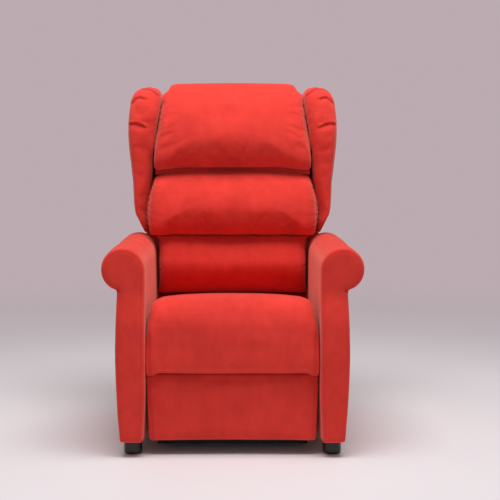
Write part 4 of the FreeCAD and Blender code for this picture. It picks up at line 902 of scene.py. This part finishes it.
def finish_arm(side, arm):
    arm.refine()
    arm.fit(low=0.0440, high=0.6265)
    places = arm.places
    places += arm.facing * (0.0006 * wobble(places, 0.2, arm.seed))[:, None]
    # the front panel is fuller below the roll, and its inner edge gives way near the floor
    ahead = 1 - ease(places[:, 1], -0.415, -0.34)
    places[:, 1] -= 0.017 * (1 - ease(places[:, 2], 0.39, 0.50)) * ahead
    near = (1 - ease(places[:, 2], 0.05, 0.22)) * (1 - ease(np.abs(places[:, 0]), 0.262, 0.300))
    places[:, 0] += side * 0.007 * near * ahead
    for end in (ARM_FRONT, ARM_REAR):
        inside, face = rim_distance(arm, end)
        arm.sink(ease(inside, 0.004, 0.012) * face, depth=0.0014)
        # a faint sewn line round each end face, with a little painted shade
        arm.sink(np.exp(-((inside - 0.0085) / 0.003) ** 2) * face, depth=0.0005, dark=0.10)
    arm.groove(0, depth=0.0018, width=0.0045, dark=0.4)
    if side > 0:
        # the cover lies flat behind the plate that holds the buttons
        low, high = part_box("control_plate")
        behind = places[:, 0] > low[0] - 0.006
        for axis in (1, 2):
            behind &= (places[:, axis] > low[axis]) & (places[:, axis] < high[axis])
        places[behind, 0] = low[0] - 0.0015
    arm.finish()


arms = [(1, arm_cover(1, 31)), (-1, arm_cover(-1, 32))]

# Back shell: a padded board, stitched round its rear face

# rise, half width of the solid
SHELL_SOLID = ((0.318, 0.250), (0.372, 0.305))
# rise, half width of the cover, which closes the view beside the lumbar cushion
SHELL_FULL = ((0.07, 0.250), (0.09, 0.2625), (0.15, 0.2640), (0.17, 0.2645), (0.27, 0.268),
              (0.33, 0.305), (0.372, 0.305))


def shell_cover():
    soft = Soft("back_shell", voxel=0.0075, fill=0.35)
    places = soft.start
    rise = rise_on_shell(places)
    flat = np.stack([places[:, 0], places[:, 1], rise], axis=1)
    inset = np.minimum(Outline(flat, 0.008).half(rise) - np.abs(places[:, 0]), rise)
    soft.sew(np.where(soft.facing[:, 1] > 0.5, inset - 0.034, 1.0))
    return soft


def finish_shell():
    shell.refine()
    places = shell.places
    rise = rise_on_shell(places)
    solid_half = np.interp(rise, *zip(*SHELL_SOLID))
    full_half = np.interp(rise, *zip(*SHELL_FULL))
    lower = (rise > SHELL_FULL[0][0]) & (rise < SHELL_FULL[-1][0])
    stretch = np.where(lower, full_half / solid_half, 1.0)
    places[:, 0] *= 1 + (stretch - 1) * ease(np.abs(places[:, 0]), 0.15, 0.24)
    shell.groove(0, depth=0.002, width=0.005, dark=0.4)
    shell.finish()


shell = shell_cover()

# The fillings are blown up together

blown = [head, middle, lumbar, seat, footrest] + [wing for _, wing in wings]
for soft in blown:
    soft.prepare()
run_cloth([soft.piece for soft in blown])
for soft in blown:
    soft.settle()

# Corners and sides. Each line gives a level, and the half width seen there

HEAD_LINE = ((0.8450, 0.2640), (0.8560, 0.2715), (0.8720, 0.2738), (0.8845, 0.2728),
             (0.9115, 0.2688), (0.9418, 0.2632), (0.9822, 0.2545), (1.0259, 0.2484),
             (1.0594, 0.2446), (1.0896, 0.2430), (1.1050, 0.2390), (1.1189, 0.2243),
             (1.1317, 0.2165), (1.1367, 0.2120), (1.1450, 0.2040))
MIDDLE_LINE = ((0.6220, 0.2790), (0.6416, 0.2878), (0.6586, 0.2921), (0.6891, 0.2926),
               (0.7161, 0.2896), (0.7432, 0.2862), (0.7660, 0.2824), (0.7870, 0.2776),
               (0.8085, 0.2738), (0.8260, 0.2680), (0.8700, 0.2400))
LUMBAR_LINE = ((0.43, 0.2592), (0.66, 0.2592))

# levels of the creases on the left and on the right
HEAD_GATHERS = ((1.012, 1.034, 1.055, 1.098), (1.02, 1.06))
MIDDLE_GATHERS = ((0.650, 0.668, 0.686, 0.703, 0.722, 0.741, 0.758, 0.776, 0.795),
                  (0.655, 0.671, 0.690, 0.706, 0.725, 0.744, 0.765, 0.783))
LUMBAR_GATHERS = ((0.50, 0.55), (0.52, 0.57))

square_corners(head, reach_side=0.075, reach_front=0.060, power=4.0)
square_corners(middle, reach_side=0.080, reach_front=0.060, power=4.0)
square_corners(lumbar, reach_side=0.060, reach_front=0.045)
square_corners(seat, reach_side=0.045, reach_front=0.032, power=4.0, below=0.43)
square_corners(footrest, reach_side=0.016, reach_front=0.012, power=4.5)
square_shoulders(seat, reach_side=0.075, reach_top=0.060)
match_sides(head, HEAD_LINE)
match_sides(middle, MIDDLE_LINE)
match_sides(lumbar, LUMBAR_LINE)
finish_back_cushion(head, HEAD_LINE, HEAD_GATHERS, low=0.842, high=1.1445, rise=0.010,
                    shoulder=0.008, crown=0.007, full=0.004)
finish_back_cushion(middle, MIDDLE_LINE, MIDDLE_GATHERS, low=0.621, high=0.8385, rise=0.002,
                    shoulder=0.003, crown=0.015, full=0.005)
finish_back_cushion(lumbar, LUMBAR_LINE, LUMBAR_GATHERS, low=0.421, high=0.622, tuck=0.030)
finish_seat()
finish_footrest()
for side, wing in wings:
    finish_wing(side, wing)
for side, arm in arms:
    finish_arm(side, arm)
finish_shell()

# Lining: the cloth over the board, seen only in the gaps between the cushions

LINING_SINK = 0.034


def lining_strip(name, low, high, ahead, half):
    bm = bmesh.new()
    bmesh.ops.create_cube(bm, size=1)
    for vert in bm.verts:
        level = low if vert.co.z < 0 else high
        depth = ahead if vert.co.y < 0 else 0.010
        vert.co = (vert.co.x * 2 * half, shell_front(level) - depth, level)
    mesh = bpy.data.meshes.new(name)
    bm.to_mesh(mesh)
    bm.free()
    fit_out(new_object(name, mesh), "back", "upholstery")


crown = middle.places[(np.abs(middle.places[:, 0]) < 0.15) & (middle.places[:, 2] > 0.825)]
lining_strip("back_lining", low=0.828, high=0.858,
             ahead=forward_of_shell(crown).max() - LINING_SINK, half=0.264)
lining_strip("lower_back_lining", low=0.350, high=0.450, ahead=0.014, half=0.2585)

for node, item in NODES.items():
    item.data.materials.clear()
    item.data.materials.append(MATERIALS[SLOT_OF[node]])

# Rigid parts: every edge is eased, and the fittings get their small details

FLAT_ANGLE = 0.6
EASED_ANGLE = 48
SHARP_ANGLE = 32
EASED = {
    "frame_wood": 0.0020, "frame_steel": 0.0009, "bright_steel": 0.0006, "drive_plastic": 0.0016,
    "foot_plastic": 0.0025, "glide_rubber": 0.0010, "control_plastic": 0.0010,
    "button_plastic": 0.0005,
}
WIDER = {"base_runners": 0.0022, "base_cross_tubes": 0.0022, "chassis_cross_tubes": 0.0022}


def ease_edges(piece, width):
    step = piece.modifiers.new("ease", "BEVEL")
    step.width = width
    step.segments = 2
    step.limit_method = "ANGLE"
    step.angle_limit = radians(EASED_ANGLE)
    apply(piece)
    smooth(piece)
    piece.data.set_sharp_from_angle(angle=radians(SHARP_ANGLE))


def eased(node, width):
    piece = copy_of(node + "_eased", node)
    bm = bmesh.new()
    bm.from_mesh(piece.data)
    bmesh.ops.dissolve_limit(bm, angle_limit=radians(FLAT_ANGLE), verts=bm.verts,
                             edges=bm.edges)
    bm.to_mesh(piece.data)
    bm.free()
    ease_edges(piece, width)
    dress(piece, node)


class Fittings:
    """Small parts that ride on one body, gathered in one mesh."""

    def __init__(self, name, body, slot_name):
        self.name = name
        self.body = body
        self.slot_name = slot_name
        self.bm = bmesh.new()

    def rod(self, place, way, radius, length, sides):
        turn = Vector((0, 0, 1)).rotation_difference(Vector(way)).to_matrix().to_4x4()
        middle = Vector(place) + Vector(way).normalized() * length / 2
        bmesh.ops.create_cone(self.bm, cap_ends=True, segments=sides, radius1=radius,
                              radius2=radius, depth=length,
                              matrix=Matrix.Translation(middle) @ turn)

    def block(self, low, high):
        size = Vector(high) - Vector(low)
        middle = (Vector(high) + Vector(low)) / 2
        scale = Matrix.Diagonal((*size, 1))
        bmesh.ops.create_cube(self.bm, size=1, matrix=Matrix.Translation(middle) @ scale)

    def wedge(self, points, way, length):
        base = [self.bm.verts.new(point) for point in points]
        face = self.bm.faces.new(base)
        grown = bmesh.ops.extrude_face_region(self.bm, geom=[face])
        moved = [item for item in grown["geom"] if isinstance(item, bmesh.types.BMVert)]
        for vert in moved:
            vert.co += Vector(way) * length

    def finish(self, width):
        bmesh.ops.recalc_face_normals(self.bm, faces=self.bm.faces)
        mesh = bpy.data.meshes.new(self.name)
        self.bm.to_mesh(mesh)
        self.bm.free()
        piece = new_object(self.name, mesh)
        ease_edges(piece, width)
        fit_out(piece, self.body, self.slot_name)


for node in NODES:
    width = WIDER.get(node, EASED.get(SLOT_OF[node]))
    if width:
        eased(node, width)


def solids_of(node):
    """The lowest and the highest corner of each solid of a node, in the order of its mesh."""
    bm = merged(node)
    reached = set()
    found = []
    for first in bm.verts:
        if first in reached:
            continue
        reached.add(first)
        rim = [first]
        low = first.co.copy()
        high = first.co.copy()
        while rim:
            vert = rim.pop()
            low = Vector(map(min, low, vert.co))
            high = Vector(map(max, high, vert.co))
            for edge in vert.link_edges:
                other = edge.other_vert(vert)
                if other not in reached:
                    reached.add(other)
                    rim.append(other)
        found.append((low, high))
    bm.free()
    return found


# A small hexagon head on each end of every pivot pin

HEAD_SHARE = 0.82
HEAD_HEIGHT = 0.0020
SUNK = 0.0003

for node in NODES:
    if not node.endswith("_pins"):
        continue
    heads = Fittings(node + "_heads", BODY_OF[node], "bright_steel")
    for low, high in solids_of(node):
        _, y, z = (low + high) / 2
        radius = (high.z - low.z) / 2 * HEAD_SHARE
        heads.rod((high.x - SUNK, y, z), (1, 0, 0), radius, HEAD_HEIGHT, 6)
        heads.rod((low.x + SUNK, y, z), (-1, 0, 0), radius, HEAD_HEIGHT, 6)
    heads.finish(0.0004)

# A plug in each end of the floor runners

PLUG_DEPTH = 0.003

plugs = Fittings("runner_plugs", "base", "foot_plastic")
for low, high in solids_of("base_runners"):
    plugs.block((low.x, high.y, low.z), (high.x, high.y + PLUG_DEPTH, high.z))
    plugs.block((low.x, low.y - PLUG_DEPTH, low.z), (high.x, low.y, high.z))
plugs.finish(0.0012)

# Drives: the wiper at the mouth of the sleeve, bands round the motor, screws in the case

CASE_HALF = 0.022
CASE_START = 0.030
CASE_LENGTH = 0.055
MOTOR_OFFSET = 0.040
MOTOR_RADIUS = 0.019
MOTOR_LENGTH = 0.066
SLEEVE_RADIUS = 0.015
# name, offset to the side, y and z of its two eyes, and the rod's length outside the sleeve
DRIVES = (("lift", 0.0, (0.05516, 0.1080), (-0.24852, 0.13431), 0.037),
          ("back", 0.110, (-0.1130, 0.24975), (0.22456, 0.23021), 0.076),
          ("footrest", -0.110, (-0.0300, 0.19890), (-0.25849, 0.19890), 0.0335))
for name, side, eye, tip, short in DRIVES:
    body = BODY_OF[name + "_actuator"]
    fittings = Fittings(name + "_drive_details", body, "drive_plastic")
    start = Vector((side, eye[0], eye[1]))
    along = Vector((0, tip[0] - eye[0], tip[1] - eye[1]))
    length = along.length
    along.normalize()
    up = Vector((1, 0, 0)).cross(along)
    mouth = length - short
    fittings.rod(start + along * (mouth - 0.012), along, SLEEVE_RADIUS + 0.0014, 0.011, 32)
    motor = start + Vector((MOTOR_OFFSET, 0, 0)) + along * (CASE_START + CASE_LENGTH)
    for share in (0.10, 0.50, 0.90):
        fittings.rod(motor + along * (MOTOR_LENGTH * share - 0.002), along,
                     MOTOR_RADIUS + 0.0009, 0.004, 32)
    fittings.rod(motor + along * (MOTOR_LENGTH - 0.001), along, MOTOR_RADIUS - 0.004, 0.0035, 32)
    fittings.finish(0.0006)
    screws = Fittings(name + "_drive_screws", body, "bright_steel")
    for way in (1, -1):
        for offset in (-0.014, 0.046):
            for share in (0.14, 0.86):
                spot = start + Vector((offset, 0, 0)) + along * (CASE_START + CASE_LENGTH * share)
                screws.rod(spot + up * way * (CASE_HALF - 0.0004), up * way, 0.0030, 0.0014, 16)
    screws.finish(0.0003)

# Power supply: ribs on the lid, and the rim round its inlet

low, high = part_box("power_supply")
supply = Fittings("power_supply_details", "base", "drive_plastic")
for index in range(9):
    middle = low.x + (high.x - low.x) * (0.2 + 0.6 * index / 8)
    supply.block((middle - 0.0011, low.y + 0.010, high.z - 0.0002),
                 (middle + 0.0011, high.y - 0.010, high.z + 0.0009))
supply.block((low.x + 0.002, low.y - 0.0006, (low.z + high.z) / 2 - 0.0006),
             (high.x - 0.002, low.y + 0.0004, (low.z + high.z) / 2 + 0.0006))
supply.finish(0.0003)

# Buttons: a raised arrow on each, up or down

for node in NODES:
    if not node.endswith("_button"):
        continue
    low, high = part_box(node)
    middle = (low + high) / 2
    half = (high.z - low.z) / 2
    way = 1 if "_up_" in node else -1
    arrow = Fittings(node + "_arrow", BODY_OF[node], "control_plastic")
    points = [(high.x - 0.0001, middle.y - half * 0.42, middle.z - way * half * 0.28),
              (high.x - 0.0001, middle.y + half * 0.42, middle.z - way * half * 0.28),
              (high.x - 0.0001, middle.y, middle.z + way * half * 0.45)]
    arrow.wedge(points, (1, 0, 0), 0.0005)
    arrow.finish(0.0001)

# Rear panel: a board wrapped in the same cloth, stitched round its border

STITCH_INSET = 0.012

panel = copy_of("rear_panel_cover", "rear_panel")
remesh(panel, 0.0055)
relax(panel)
subdivide(panel)
places = points_of(panel.data)
facing = normals_of(panel.data)
low = places.min(axis=0)
high = places.max(axis=0)
inset = np.minimum(np.minimum(places[:, 0] - low[0], high[0] - places[:, 0]),
                   np.minimum(places[:, 2] - low[2], high[2] - places[:, 2]))
stitch = np.exp(-((inset - STITCH_INSET) / 0.004) ** 2) * (np.abs(facing[:, 1]) > 0.7)
puff = ease(inset, STITCH_INSET, 0.05) * np.clip(facing[:, 1], 0, 1)
places += facing * (0.0025 * puff - 0.0016 * stitch)[:, None]
put_points(panel.data, places)
# painted shade: the stitched line is darkened in the cloth's mark
put_mark(panel.data, "seam", stitch * 0.3)
dress(panel, "rear_panel")

# Studio

ROOM_LIGHT = 0.36
FLOOR_RADIUS = 4.6


def add_area(name, place, target, width, height, power):
    data = bpy.data.lights.new(name, "AREA")
    data.shape = "RECTANGLE"
    data.size = width
    data.size_y = height
    data.energy = power
    lamp = new_object(name, data)
    lamp.location = place
    lamp.rotation_euler = (Vector(target) - Vector(place)).to_track_quat("-Z", "Y").to_euler()


def add_floor():
    # a pale round floor that fades into the backdrop behind it
    bm = bmesh.new()
    bmesh.ops.create_circle(bm, cap_ends=True, segments=96, radius=FLOOR_RADIUS)
    mesh = bpy.data.meshes.new("floor")
    bm.to_mesh(mesh)
    bm.free()
    paint = Paint("studio_floor")
    tone = paint.noise(0.9, 2.0)
    colour = paint.ramp(tone, (0.2, (0.69, 0.655, 0.67)), (0.8, (0.74, 0.705, 0.72)))
    material = paint.finish(colour, 0.6)
    tree = material.node_tree
    place = tree.nodes.new("ShaderNodeNewGeometry")
    away = tree.nodes.new("ShaderNodeVectorMath")
    away.operation = "LENGTH"
    fade = tree.nodes.new("ShaderNodeMapRange")
    fade.interpolation_type = "SMOOTHSTEP"
    fade.inputs["From Min"].default_value = 0.9
    fade.inputs["From Max"].default_value = 4.4
    clear = tree.nodes.new("ShaderNodeBsdfTransparent")
    mix = tree.nodes.new("ShaderNodeMixShader")
    shader = tree.nodes["Principled BSDF"]
    output = tree.nodes["Material Output"]
    tree.links.new(place.outputs["Position"], away.inputs[0])
    tree.links.new(away.outputs["Value"], fade.inputs["Value"])
    tree.links.new(fade.outputs["Result"], mix.inputs["Fac"])
    tree.links.new(shader.outputs["BSDF"], mix.inputs[1])
    tree.links.new(clear.outputs["BSDF"], mix.inputs[2])
    tree.links.new(mix.outputs["Shader"], output.inputs["Surface"])
    mesh.materials.append(material)
    new_object("floor", mesh)


def add_world():
    world = bpy.data.worlds.new("studio")
    bpy.context.scene.world = world
    world.use_nodes = True
    tree = world.node_tree
    room = tree.nodes["Background"]
    room.inputs["Color"].default_value = (0.90, 0.84, 0.86, 1)
    room.inputs["Strength"].default_value = ROOM_LIGHT
    backdrop = tree.nodes.new("ShaderNodeBackground")
    backdrop.inputs["Color"].default_value = (0.50, 0.41, 0.44, 1)
    backdrop.inputs["Strength"].default_value = 1.0
    seen = tree.nodes.new("ShaderNodeLightPath")
    mix = tree.nodes.new("ShaderNodeMixShader")
    tree.links.new(seen.outputs["Is Camera Ray"], mix.inputs["Fac"])
    tree.links.new(room.outputs["Background"], mix.inputs[1])
    tree.links.new(backdrop.outputs["Background"], mix.inputs[2])
    tree.links.new(mix.outputs["Shader"], tree.nodes["World Output"].inputs["Surface"])


add_camera()
add_floor()
add_world()
add_area("overhead_softbox", (0.15, -0.95, 3.8), (0, -0.15, 0.5), width=3.0, height=1.8,
         power=150)
add_area("front_fill", (0, -5.0, 1.6), (0, 0, 0.5), width=3.0, height=2.0, power=10)
bpy.context.scene.view_settings.view_transform = "Standard"
